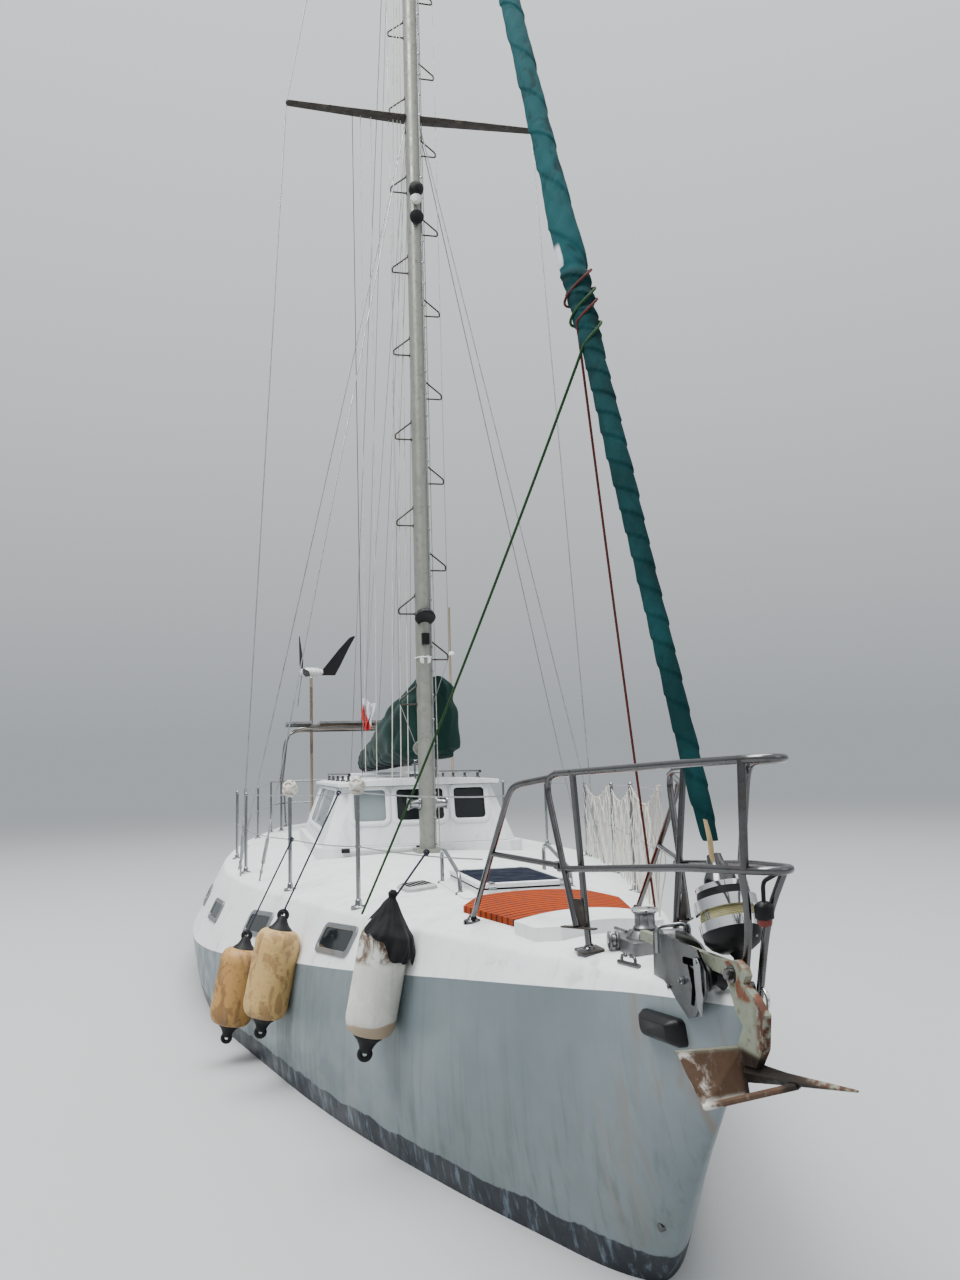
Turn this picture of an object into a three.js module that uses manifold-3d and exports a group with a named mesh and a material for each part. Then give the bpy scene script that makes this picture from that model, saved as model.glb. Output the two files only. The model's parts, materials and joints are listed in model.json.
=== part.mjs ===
// Sailing yacht, afloat. Millimetres: +X to the bow, +Y to port, +Z up.
// The origin is on the centre line amidships, at the waterline.
import * as THREE from 'three';
import { mergeVertices } from 'three/addons/utils/BufferGeometryUtils.js';
import Module from 'manifold-3d';

const wasm = await Module();
wasm.setup();

// Driving dimensions
const SEAT = 0.3;            // gap between pieces that rest on each other
const FREE = 6;              // gap beside a piece that moves
const BEARING = 1.2;         // extra radius of a bore round its turning shaft

// Hull stations from stern to stem. deckHalf and kneeHalf are half breadths at the deck edge and
// at the fold below it, bulge widens the topsides, full rounds the section under water.
const STATIONS = [
  // x, deckHalf, deckZ, crown, kneeHalf, kneeZ, keelZ, bulge, full
  [-6100, 1000, 965, 70, 1180, 590, 70, 20, 2.2],
  [-5600, 1110, 958, 85, 1310, 560, -60, 120, 2.3],
  [-5000, 1230, 951, 95, 1440, 525, -205, 190, 2.6],
  [-4000, 1390, 945, 105, 1630, 462, -400, -30, 3.0],
  [-3000, 1500, 942, 110, 1770, 422, -540, -117, 3.2],
  [-2000, 1570, 942, 112, 1850, 402, -640, -150, 3.2],
  [-1000, 1600, 944, 114, 1872, 400, -700, -132, 3.2],
  [0, 1562, 950, 118, 1812, 425, -720, -110, 3.2],
  [500, 1507, 951, 122, 1746, 450, -718, -60, 3.2],
  [1000, 1425, 953, 126, 1654, 486, -712, -10, 3.2],
  [1500, 1312, 958, 128, 1528, 530, -702, 45, 3.2],
  [2000, 1183, 964, 128, 1372, 590, -690, 95, 3.2],
  [2500, 1042, 972, 126, 1208, 642, -675, 150, 3.15],
  [3000, 902, 981, 120, 1047, 691, -652, 180, 3.1],
  [3500, 764, 993, 106, 888, 745, -625, 160, 3.05],
  [4000, 612, 1006, 86, 712, 806, -585, 115, 3.0],
  [4500, 440, 1021, 62, 515, 866, -515, 80, 2.75],
  [5000, 289, 1037, 40, 343, 928, -340, 10, 2.1],
  [5290, 214, 1047, 29, 252, 966, 0, 0, 1.9],
  [5500, 155, 1055, 21, 183, 995, 280, 0, 1.6],
  [5750, 92, 1064, 12, 106, 1022, 613, 0, 1.4],
  [5950, 48, 1072, 6, 53, 1042, 880, 0, 1.3],
  [6060, 28, 1078, 3, 30, 1055, 1027, 0, 1.3],
];
const HULL_RING = [-6100, -5850, -5600, -5300, -5000, -4600, -4200, -3700, -3200, -2600, -2000,
  -1300, -600, 0, 500, 1000, 1400, 1800, 2200, 2600, 3000, 3400, 3800, 4150, 4500, 4750, 5000,
  5150, 5290, 5500, 5750, 5950, 6060];
const SECTION_STEPS = [0, 0.16, 0.32, 0.48, 0.62, 0.74, 0.84, 0.92, 0.975];

const MAST = { x: 750, halfLong: 92, halfWide: 63, foot: 1090, head: 13150, rake: 95 };
const BOOM = { pin: 590, fore: 540, aft: -3900, zFore: 1905, zAft: 1800, radius: 62 };
const SPREADER = { z: 7350, tip: 1070, rootLong: 130, tipLong: 80, thick: 26 };
const CABIN = { aft: -2500, fore: 500, foreTop: 360, half: 800, halfTop: 625, floor: 1130, top: 1600,
  wall: 45, skirtHalf: 850, skirtFore: 560, skirtAft: -2600, skirtWall: 70, roofTop: 1650 };
const COCKPIT = { aft: -5250, fore: -2750, half: 520, sole: 640 };
const WELL = { aft: -2330, fore: 250, half: 560, sole: -120 };
const HATCH = { aft: 2890, fore: 3700, half: 245, clear: 200, depth: 560, rail: 300, top: 1120 };
const LOCKER = { aft: -4150, fore: -3250, inner: -640, outer: -1080, sole: 700, ledge: 25, lid: 30 };
const RUDDER = { x: -4950, lead: -4820, trail: -5560, top: -300, foot: -1500, stock: 30, head: 150 };
const SHAFT = { x: -2450, z: -560, fall: 8, radius: 16, hub: -3990, fore: -2520 };
const PROP = { blade: 205, hub: 36, hubLong: 95, blades: 3 };
const WINDLASS = { x: 5280, top: 1150 };
const WHEEL = { x: -4420, z: 1290, radius: 330, rim: 14 };

// Solid helpers
function solidOf(geometry) {
  const g = geometry.index ? geometry.clone() : geometry;
  g.deleteAttribute('normal');
  g.deleteAttribute('uv');
  const merged = mergeVertices(g, 1e-3);
  const p = merged.attributes.position.array;
  const tri = merged.index.array;
  return solidFrom(Array.from(p), Array.from(tri));
}

// Builds a solid from flat points and triangles, turned the right way out.
function solidFrom(points, triangles) {
  let volume = 0;
  const at = i => new THREE.Vector3(points[3 * i], points[3 * i + 1], points[3 * i + 2]);
  for (let i = 0; i < triangles.length; i += 3) {
    volume += at(triangles[i]).dot(at(triangles[i + 1]).cross(at(triangles[i + 2])));
  }
  const order = volume < 0 ? triangles.slice().reverse() : triangles;
  return new wasm.Manifold(new wasm.Mesh({
    numProp: 3, vertProperties: new Float32Array(points), triVerts: new Uint32Array(order),
  }));
}

// Skins a closed body through rings of [x, y, z] with equal point counts and flat ends.
function loft(rings) {
  const n = rings[0].length;
  const points = rings.flat();
  const triangles = [];
  for (let i = 0; i < rings.length - 1; i++) {
    for (let j = 0; j < n; j++) {
      const a = i * n + j;
      const b = i * n + (j + 1) % n;
      triangles.push(a, b, b + n, a, b + n, a + n);
    }
  }
  for (const first of [0, (rings.length - 1) * n]) {
    const ring = points.slice(first, first + n);
    const centre = [0, 1, 2].map(k => ring.reduce((sum, p) => sum + p[k], 0) / n);
    const c = points.push(centre) - 1;
    for (let j = 0; j < n; j++) {
      const a = first + j;
      const b = first + (j + 1) % n;
      triangles.push(...(first === 0 ? [b, a, c] : [a, b, c]));
    }
  }
  return solidFrom(points.flat(), triangles);
}

function box(x0, x1, y0, y1, z0, z1) {
  const g = new THREE.BoxGeometry(x1 - x0, y1 - y0, z1 - z0);
  g.translate((x0 + x1) / 2, (y0 + y1) / 2, (z0 + z1) / 2);
  return solidOf(g);
}

const vec = p => new THREE.Vector3(...p);

// A round tube of one radius along straight legs, mitred where they meet. Long legs get a ring
// a short way in from each end, so that what joins there meets a stub of fair shape.
const STUB = 60;
function sweep(path, radius, sides = 6) {
  const pts = path.map(vec).flatMap((p, i, all) => {
    if (i === 0 || all[i - 1].distanceTo(p) < 8 * STUB) return [p];
    const step = p.clone().sub(all[i - 1]).setLength(STUB);
    return [all[i - 1].clone().add(step), p.clone().sub(step), p];
  });
  const legs = pts.slice(1).map((p, i) => p.clone().sub(pts[i]).normalize());
  const up = Math.abs(legs[0].z) > 0.9 ? new THREE.Vector3(1, 0, 0) : new THREE.Vector3(0, 0, 1);
  let side = up.clone().cross(legs[0]).normalize();
  const rings = pts.map((p, i) => {
    const before = legs[Math.max(i - 1, 0)];
    const after = legs[Math.min(i, legs.length - 1)];
    const cutNormal = before.clone().add(after).normalize();
    const third = before.clone().cross(side).normalize();
    const ring = [];
    for (let k = 0; k < sides; k++) {
      const a = (2 * Math.PI * (k + 0.5)) / sides;
      const arm = side.clone().multiplyScalar(Math.cos(a) * radius)
        .addScaledVector(third, Math.sin(a) * radius);
      const slide = -arm.dot(cutNormal) / before.dot(cutNormal);
      ring.push(p.clone().add(arm).addScaledVector(before, slide).toArray());
    }
    side = side.clone().addScaledVector(after, -side.dot(after)).normalize();
    return ring;
  });
  return loft(rings);
}

const rod = (a, b, radius, sides = 6) => sweep([a, b], radius, sides);

// A tapered round bar.
function cone(a, b, radiusA, radiusB, sides = 12) {
  const dir = vec(b).sub(vec(a)).normalize();
  const up = Math.abs(dir.z) > 0.9 ? new THREE.Vector3(1, 0, 0) : new THREE.Vector3(0, 0, 1);
  const u = up.clone().cross(dir).normalize();
  const v = dir.clone().cross(u);
  const ring = (p, r) => Array.from({ length: sides }, (_, k) => {
    const t = (2 * Math.PI * (k + 0.5)) / sides;
    return vec(p).addScaledVector(u, Math.cos(t) * r).addScaledVector(v, Math.sin(t) * r).toArray();
  });
  return loft([ring(a, radiusA), ring(b, radiusB)]);
}

// A body of revolution: rows of [distance along the axis, radius] from a base point.
function turned(base, direction, rows, sides = 16) {
  const dir = vec(direction).normalize();
  const up = Math.abs(dir.z) > 0.9 ? new THREE.Vector3(1, 0, 0) : new THREE.Vector3(0, 0, 1);
  const u = up.clone().cross(dir).normalize();
  const v = dir.clone().cross(u);
  return loft(rows.map(([d, r]) => Array.from({ length: sides }, (_, k) => {
    const t = (2 * Math.PI * (k + 0.5)) / sides;
    return vec(base).addScaledVector(dir, d).addScaledVector(u, Math.cos(t) * r)
      .addScaledVector(v, Math.sin(t) * r).toArray();
  })));
}

// An upright prism over a plan outline of [x, y].
function prism(outline, z0, z1) {
  const shape = new THREE.Shape(outline.map(p => new THREE.Vector2(...p)));
  const g = new THREE.ExtrudeGeometry(shape, { depth: z1 - z0, bevelEnabled: false });
  g.translate(0, 0, z0);
  return solidOf(g);
}

// A plate with an outline of [x, z], between two distances along Y.
function sidePlate(outline, y0, y1) {
  const shape = new THREE.Shape(outline.map(p => new THREE.Vector2(...p)));
  const g = new THREE.ExtrudeGeometry(shape, { depth: y1 - y0, bevelEnabled: false });
  g.rotateX(Math.PI / 2);
  g.translate(0, y1, 0);
  return solidOf(g);
}

const join = parts => parts.reduce((a, b) => a.add(b));
const mirrorOutline = half => [...half, ...half.map(([x, y]) => [x, -y]).reverse()
  .filter(([, y]) => y !== 0)];

// Hull form
const KEYS = ['x', 'deckHalf', 'deckZ', 'crown', 'kneeHalf', 'kneeZ', 'keelZ', 'bulge', 'full'];
const xs = STATIONS.map(row => row[0]);

// Reads the station table at any x with smooth curves between the rows.
function stationAt(x) {
  const last = xs.length - 1;
  let i = 0;
  while (i < last - 1 && x > xs[i + 1]) i++;
  const t = THREE.MathUtils.clamp((x - xs[i]) / (xs[i + 1] - xs[i]), 0, 1);
  const out = {};
  KEYS.forEach((key, k) => {
    const v = j => STATIONS[THREE.MathUtils.clamp(j, 0, last)][k];
    const slope = j => {
      const a = Math.max(j - 1, 0);
      const b = Math.min(j + 1, last);
      return (v(b) - v(a)) / (xs[b] - xs[a]);
    };
    const h = xs[i + 1] - xs[i];
    const t2 = t * t;
    const t3 = t2 * t;
    out[key] = (2 * t3 - 3 * t2 + 1) * v(i) + (t3 - 2 * t2 + t) * h * slope(i)
      + (-2 * t3 + 3 * t2) * v(i + 1) + (t3 - t2) * h * slope(i + 1);
  });
  out.x = x;
  return out;
}

function deckHeight(x, y) {
  const s = stationAt(x);
  const r = Math.min(1, Math.abs(y) / s.deckHalf);
  return s.deckZ + s.crown * (1 - r * r);
}

// One side of the hull section from the fold down to the keel line.
function hullRing(x) {
  const s = stationAt(x);
  const depth = s.kneeZ - s.keelZ;
  const side = SECTION_STEPS.map(u => {
    const shape = (1 - u ** s.full) ** (1 / (1.4 + 0.13 * s.full));
    return [x, (s.kneeHalf + s.bulge * u) * shape, s.kneeZ - depth * u];
  });
  return [...side.map(([a, y, z]) => [a, -y, z]), [x, 0, s.keelZ],
    ...side.reverse()];
}

const hullForm = () => loft(HULL_RING.map(hullRing));

function deckRing(x) {
  const s = stationAt(x);
  const edge = Math.min(26, s.deckHalf * 0.4);
  const lean = (s.kneeHalf - s.deckHalf) / (s.deckZ - s.kneeZ);
  const half = [
    [s.kneeHalf, s.kneeZ + SEAT],
    [s.deckHalf + lean * edge, s.deckZ - edge],
    [s.deckHalf - edge * 0.25, s.deckZ - edge * 0.2],
    [s.deckHalf - edge, s.deckZ + 3],
    ...[0.74, 0.46, 0.2].map(f => [
      (s.deckHalf - edge) * f, s.deckZ + 3 + s.crown * (1 - f * f)]),
  ];
  return [...half.map(([y, z]) => [x, -y, z]), ...half.reverse().map(([y, z]) => [x, y, z])];
}

const deckForm = () => loft(HULL_RING.map(deckRing));
const DECK = deckForm();
const BURIED = 30;            // how far a foot starts below the deck before it is trimmed

// Joins pieces that stand on the deck and trims their feet to it.
const onFoot = parts => join(parts).subtract(DECK.translate([0, 0, SEAT]));

// A flat-sided piece that lies on the deck's own curve, from one height above it to another.
function onDeck(outline, low, high) {
  return DECK.translate([0, 0, high]).intersect(prism(outline, 0, 2500))
    .subtract(DECK.translate([0, 0, low]));
}

function foil(lead, trail, half, z) {
  const rows = [[0, 0.02], [0.06, 0.55], [0.2, 0.9], [0.38, 1], [0.6, 0.8], [0.82, 0.4], [1, 0.05]];
  const side = rows.map(([f, w]) => [lead + (trail - lead) * f, w * half]);
  return [...side.map(([x, y]) => [x, y, z]), ...side.reverse().map(([x, y]) => [x, -y, z])];
}

const shaftDir = () => {
  const a = THREE.MathUtils.degToRad(SHAFT.fall);
  return [-Math.cos(a), 0, -Math.sin(a)];
};
const shaftPoint = x => [x, 0, SHAFT.z + (x - SHAFT.x) * Math.tan(THREE.MathUtils.degToRad(SHAFT.fall))];

function hull() {
  const skeg = loft([foil(-4130, -4770, 50, -1060), foil(-4000, -4770, 60, -150)]);
  const sternTube = rod(shaftPoint(-2200), shaftPoint(-2800), 46, 12);
  return join([hullForm(), skeg, sternTube])
    .subtract(box(WELL.aft, WELL.fore, -WELL.half, WELL.half, WELL.sole, 1200))
    .subtract(box(HATCH.aft + 60, HATCH.fore - 60, -HATCH.clear, HATCH.clear, HATCH.depth, 1200))
    .subtract(rod(shaftPoint(SHAFT.fore), shaftPoint(-2900), SHAFT.radius + BEARING, 12))
    .subtract(rod([RUDDER.x, 0, -600], [RUDDER.x, 0, RUDDER.head], RUDDER.stock + BEARING, 16));
}

const lockerOutline = inset => [
  [LOCKER.aft + inset, LOCKER.outer + inset], [LOCKER.aft + inset, LOCKER.inner - inset],
  [LOCKER.fore - inset, LOCKER.inner - inset], [LOCKER.fore - inset, LOCKER.outer + inset],
];

// The deck moulding in three panels, with a coaming round the sides and back of the cockpit.
const PANELS = { deck_fore: [1700, 6200], deck_middle: [-2700, 1700], deck_aft: [-6200, -2700] };
const COAMING = { fore: -2720, aft: -5340, half: 605, top: 1190 };

function deckPanels() {
  const coaming = box(COAMING.aft, COAMING.fore, -COAMING.half, COAMING.half, 900, COAMING.top)
    .subtract(box(COCKPIT.aft, 0, -COCKPIT.half, COCKPIT.half, 0, 1400));
  const whole = DECK.add(coaming)
    .subtract(box(WELL.aft, WELL.fore, -WELL.half, WELL.half, 0, 1400))
    .subtract(box(COCKPIT.aft, COCKPIT.fore, -COCKPIT.half, COCKPIT.half, COCKPIT.sole, 1400))
    .subtract(box(LOCKER.aft + LOCKER.ledge, LOCKER.fore - LOCKER.ledge, LOCKER.outer + LOCKER.ledge,
      LOCKER.inner - LOCKER.ledge, LOCKER.sole, 1400))
    .subtract(onDeck(lockerOutline(0), -LOCKER.lid - SEAT, 60))
    .subtract(box(HATCH.aft + 60, HATCH.fore - 60, -HATCH.clear, HATCH.clear, 0, 1400));
  return Object.entries(PANELS).map(([name, [aft, fore]]) => [name,
    whole.intersect(box(aft + SEAT / 2, fore - SEAT / 2, -3000, 3000, 0, 2000))]);
}

function keel() {
  return loft([foil(1050, -1150, 105, -1850), foil(1250, -1450, 135, -1100), foil(1450, -1650, 160, -450)])
    .subtract(hullForm().translate([0, 0, -SEAT]));
}

function shaftBracket() {
  const [x, , z] = shaftPoint(-3720);
  const barrel = rod(shaftPoint(-3670), shaftPoint(-3770), 36, 12);
  const strut = loft([foil(x + 45, x - 45, 9, z + 10), foil(x + 65, x - 65, 10, -300)]);
  return join([barrel, strut])
    .subtract(rod(shaftPoint(-3600), shaftPoint(-3850), SHAFT.radius + BEARING, 12))
    .subtract(hullForm().translate([0, 0, -SEAT]));
}

function propeller() {
  const shaft = rod(shaftPoint(SHAFT.fore - SEAT), shaftPoint(-4040), SHAFT.radius, 12);
  const base = shaftPoint(SHAFT.hub + PROP.hubLong / 2);
  const hub = turned(base, shaftDir(), [[0, PROP.hub], [PROP.hubLong, PROP.hub * 0.85],
    [PROP.hubLong + 30, 8]], 12);
  const dir = vec(shaftDir());
  const centre = vec(shaftPoint(SHAFT.hub));
  const blades = Array.from({ length: PROP.blades }, (_, k) => {
    const turn = (2 * Math.PI * k) / PROP.blades;
    const out = new THREE.Vector3(0, Math.sin(turn), Math.cos(turn)).addScaledVector(dir,
      -dir.z * Math.cos(turn)).normalize();
    const across = dir.clone().cross(out).normalize();
    const rows = [[PROP.hub * 0.6, 34, 58], [90, 62, 40], [150, 70, 28], [190, 46, 22],
      [PROP.blade, 12, 20]];
    return loft(rows.map(([r, half, pitch]) => {
      const a = THREE.MathUtils.degToRad(pitch);
      const chord = across.clone().multiplyScalar(Math.cos(a)).addScaledVector(dir, Math.sin(a));
      const face = across.clone().multiplyScalar(-Math.sin(a)).addScaledVector(dir, Math.cos(a));
      return [[-half, 0], [-half * 0.4, 5], [half * 0.5, 5], [half, 0], [half * 0.5, -3], [-half * 0.4, -3]]
        .map(([c, f]) => centre.clone().addScaledVector(out, r).addScaledVector(chord, c)
          .addScaledVector(face, f).toArray());
    }));
  });
  return join([shaft, hub, ...blades]);
}

function rudder() {
  const blade = loft([foil(RUDDER.lead, RUDDER.trail + 140, 38, RUDDER.foot),
    foil(RUDDER.lead, RUDDER.trail, 52, RUDDER.top)]);
  return blade
    .add(rod([RUDDER.x, 0, RUDDER.top - 50], [RUDDER.x, 0, RUDDER.head - SEAT], RUDDER.stock, 16));
}

// Foredeck
const stepOutline = mirrorOutline([[4600, 0], [4600, 300], [4800, 270], [4900, 190], [4900, 0]]);
const padOutline = mirrorOutline([[3800, 0], [3800, 270], [3980, 385], [4590, 250], [4590, 0]]);
const foredeckStep = () => onDeck(stepOutline, SEAT, 52);
const foredeckPad = () => onDeck(padOutline, SEAT, 30);

function hatchCoaming() {
  const outer = box(HATCH.aft, HATCH.fore, -HATCH.half, HATCH.half, 900, HATCH.top);
  const inner = box(HATCH.aft + 50, HATCH.fore - 50, -HATCH.clear, HATCH.clear, 800, 1300);
  const flange = onDeck([[HATCH.aft - 30, -HATCH.half - 75], [HATCH.fore + 20, -HATCH.half - 75],
    [HATCH.fore + 20, HATCH.half + 75], [HATCH.aft - 30, HATCH.half + 75]], SEAT, 12);
  const railPath = [[2990, 1060], [2990, 1270], [3100, 1272], [3480, 1180], [3500, 1060]];
  const rails = [1, -1].map(s => sweep(railPath.map(([x, z]) => [x, s * HATCH.rail, z]), 11, 8));
  return join([outer, flange, ...rails]).subtract(inner).subtract(DECK.translate([0, 0, SEAT]));
}

const hatchLid = () => box(HATCH.aft - 5, HATCH.fore + 5, -HATCH.half - 5, HATCH.half + 5,
  HATCH.top + SEAT, HATCH.top + 35);

// Pilothouse
// A tapered four-sided tent of the walls, drawn in by an inset.
function cabinTent(inset, low = CABIN.floor + SEAT, high = CABIN.top) {
  const f = z => (z - CABIN.floor) / (CABIN.top - CABIN.floor);
  const ring = z => {
    const half = CABIN.half + (CABIN.halfTop - CABIN.half) * f(z) - inset;
    const fore = CABIN.fore + (CABIN.foreTop - CABIN.fore) * f(z) - inset;
    return [[CABIN.aft + inset, -half, z], [fore - 90, -half, z], [fore, -half + 90, z],
      [fore, half - 90, z], [fore - 90, half, z], [CABIN.aft + inset, half, z]];
  };
  return loft([ring(low), ring(high)]);
}
const tentWall = (outer, inner) => cabinTent(outer)
  .subtract(cabinTent(inner, CABIN.floor - 50, CABIN.top + 50));

const WINDOWS = {
  glass_front_centre: { x: [250, 700], y: [-205, 205], z: [1310, 1580] },
  glass_front_starboard: { x: [250, 700], y: [-555, -275], z: [1310, 1580] },
  glass_front_port: { x: [250, 700], y: [275, 555], z: [1310, 1580] },
  glass_side_starboard: { x: [-2000, -60], y: [-900, -500], z: [1235, 1575] },
  glass_side_port: { x: [-2000, -60], y: [500, 900], z: [1235, 1575] },
};
const windowBox = (w, shrink = 0) => box(w.x[0] + shrink, w.x[1] - shrink, w.y[0] + shrink,
  w.y[1] - shrink, w.z[0] + shrink, w.z[1] - shrink);
const DOORWAY = { half: 280, low: CABIN.floor + FREE, high: 1560 };

function cabinWalls() {
  let shell = tentWall(0, CABIN.wall);
  for (const w of Object.values(WINDOWS)) shell = shell.subtract(windowBox(w));
  shell = shell.subtract(box(CABIN.aft - 100, CABIN.aft + 100, -DOORWAY.half, DOORWAY.half, 900,
    DOORWAY.high));
  const foreCut = 255;
  const aftCut = CABIN.aft + CABIN.wall + 15;
  return {
    cabin_front: shell.intersect(box(foreCut, 900, -1000, 1000, 1000, 1700)),
    cabin_side_starboard: shell.intersect(box(aftCut, foreCut - SEAT, -1000, 0, 1000, 1700)),
    cabin_side_port: shell.intersect(box(aftCut, foreCut - SEAT, 0, 1000, 1000, 1700)),
    cabin_aft: shell.intersect(box(-2700, aftCut - SEAT, -1000, 1000, 1000, 1700)),
  };
}
const pane = w => tentWall(18, 25).intersect(windowBox(w, SEAT));

function cabinSkirt() {
  const ring = inset => mirrorOutline([
    [CABIN.skirtAft + inset, 0], [CABIN.skirtAft + inset, CABIN.skirtHalf - inset],
    [CABIN.skirtFore - 110 - inset * 0.4, CABIN.skirtHalf - inset],
    [CABIN.skirtFore - inset, CABIN.skirtHalf - 130 - inset * 0.4], [CABIN.skirtFore - inset, 0]]);
  return prism(ring(0), 800, CABIN.floor).subtract(prism(ring(170), 700, 1300))
    .subtract(DECK.translate([0, 0, SEAT]));
}

const SLIDE = { aft: -2560, fore: -1780, half: 366, travel: 600, rail: 1684 };
function cabinRoof() {
  const ring = x => {
    const half = 672;
    const low = CABIN.top + SEAT;
    const y = [1, 0.7, 0.35, 0, -0.35, -0.7, -1];
    return [[x, half, low], ...y.map(f => [x, half * f, CABIN.roofTop - 18 + 34 * (1 - f * f)]),
      [x, -half, low]];
  };
  const rails = [1, -1].map(s => box(SLIDE.aft, SLIDE.fore + SLIDE.travel, s * 352 - 9, s * 352 + 9,
    1620, SLIDE.rail));
  return join([loft([ring(-2580), ring(430)]), ...rails])
    .subtract(box(-2700, SLIDE.fore - 60, -DOORWAY.half, DOORWAY.half, 1500, 1800));
}
const slideHatch = () => box(SLIDE.aft, SLIDE.fore, -SLIDE.half, SLIDE.half, SLIDE.rail + SEAT,
  SLIDE.rail + 24);
const cabinDoor = () => box(CABIN.aft, CABIN.aft + 25, -DOORWAY.half + 7, DOORWAY.half - SEAT, DOORWAY.low,
  DOORWAY.high - 8);

// Cockpit
function pedestal() {
  return join([box(-4350, -4230, -70, 70, COCKPIT.sole + SEAT, 1240),
    rod([-4290, 0, 1200], [-4290, 0, 1380], 60, 12),
    rod([-4290, 0, WHEEL.z], [WHEEL.x + 25 + SEAT, 0, WHEEL.z], 20, 12)]);
}

function steeringWheel() {
  const rim = new THREE.TorusGeometry(WHEEL.radius, WHEEL.rim, 6, 24);
  rim.rotateY(Math.PI / 2);
  rim.translate(WHEEL.x, 0, WHEEL.z);
  const hub = rod([WHEEL.x - 25, 0, WHEEL.z], [WHEEL.x + 25, 0, WHEEL.z], 45, 12);
  const spokes = [0, 60, 120].map(d => {
    const a = THREE.MathUtils.degToRad(d);
    const y = Math.cos(a) * WHEEL.radius;
    const z = Math.sin(a) * WHEEL.radius;
    return rod([WHEEL.x, -y, WHEEL.z - z], [WHEEL.x, y, WHEEL.z + z], 8, 6);
  });
  return join([solidOf(rim), hub, ...spokes]);
}

const lockerLid = () => onDeck(lockerOutline(FREE), -LOCKER.lid, -1);

// Deck gear
const railHeight = 620;
const STANCHIONS = [[3150, 790, 0], [1950, 1110, 0], [500, 1400, 0], [-1000, 1490, 0], [-2500, 1430, 0],
  [-3900, 1290, 0]];

function lifelines(side) {
  const foot = ([x, y]) => [x, side * y, deckHeight(x, y)];
  const posts = STANCHIONS.map(row => {
    const [x, y, z] = foot(row);
    return join([rod([x, y, z - BURIED], [x, y, z + railHeight], 12.5, 8),
      cone([x, y, z - BURIED], [x, y, z + 45], 40, 16, 8)]);
  });
  const line = (height, foreEnd, aftEnd) => [foreEnd, ...STANCHIONS.map(row => {
    const [x, y, z] = foot(row);
    return [x, y, z + height];
  }), aftEnd];
  const top = sweep(line(610, [4784, side * 372, 1612], [-4870, side * 1120, 1615]), 3.5, 6);
  const low = sweep(line(320, [4500, side * 405, 1345], [-4870, side * 1120, 1310]), 3.5, 6);
  return onFoot([...posts, top, low]);
}

function pulpitSide(s) {
  const foot = (x, y) => deckHeight(x, y) - BURIED;
  return join([
    rod([5150, s * 165, foot(5150, 165)], [5190, s * 216, 1700], 12.5),
    cone([5150, s * 165, foot(5150, 165)], [5150, s * 165, 1072], 42, 40, 8),
    sweep([[5165, s * 215, 1155], [4975, s * 250, 1640], [5000, s * 246, 1680], [5060, s * 238, 1697]],
      12.5),
    rod([5130, s * 220, 1160], [5165, s * 168, 1150], 12),
    sweep([[4200, s * 390, foot(4200, 390)], [4800, s * 360, 1612], [4840, s * 345, 1655],
      [4990, s * 248, 1680]], 12.5),
    rod([4540, s * 373, 1370], [5040, s * 240, 1360], 11),
  ]);
}

function pulpit() {
  const topRail = [[5000, -246, 1682], [5060, -238, 1697], [5900, -105, 1722], [6170, -72, 1728]];
  const portRail = [[6170, 72, 1728], [5940, 104, 1722], [5890, 108, 1690], [5810, 115, 1425]];
  const portStub = [[4990, 248, 1680], [5060, 238, 1697], [5190, 216, 1700]];
  const lowRail = s => [[5040, s * 232, 1345], [5900, s * 105, 1420], [6150, s * 68, 1434]];
  const nose = z => [[6225, -48, z], [6258, 0, z], [6225, 48, z]];
  const top = sweep([...topRail, ...nose(1730), ...portRail], 13);
  const low = sweep([...lowRail(-1), ...nose(1438), ...lowRail(1).reverse()], 12);
  const legs = [
    sweep(portStub, 13),
    rod([6180, -66, 1436], [6195, -64, 1728], 12),
  ];
  return join([top, low, ...legs, ...[1, -1].map(pulpitSide),
    sweep([[6046, 24, 1070], [6115, 26, 1300], [6160, 66, 1436]], 11),
    sweep([[6046, -24, 1070], [6115, -26, 1300], [6160, -66, 1436]], 11)])
    .subtract(DECK.translate([0, 0, SEAT]));
}

function pushpit() {
  const foot = (x, y) => deckHeight(x, y) - BURIED;
  const rail = z => sweep([[-4900, 1120, z], [-5900, 960, z], [-5990, 880, z], [-5990, 320, z]], 12.5);
  const half = s => join([
    rail(1615), rail(1310),
    rod([-4900, 1120, foot(-4900, 1120)], [-4900, 1120, 1615], 12.5),
    rod([-5900, 900, foot(-5900, 900)], [-5940, 925, 1615], 12.5),
    rod([-5990, 320, foot(-5990, 320)], [-5990, 320, 1622], 12.5),
  ]).transform([1, 0, 0, 0, 0, s, 0, 0, 0, 0, 1, 0, 0, 0, 0, 1]);
  return onFoot([half(1), half(-1), rod([-5990, -320, 1615], [-5990, 320, 1615], 12.5)]);
}

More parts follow.
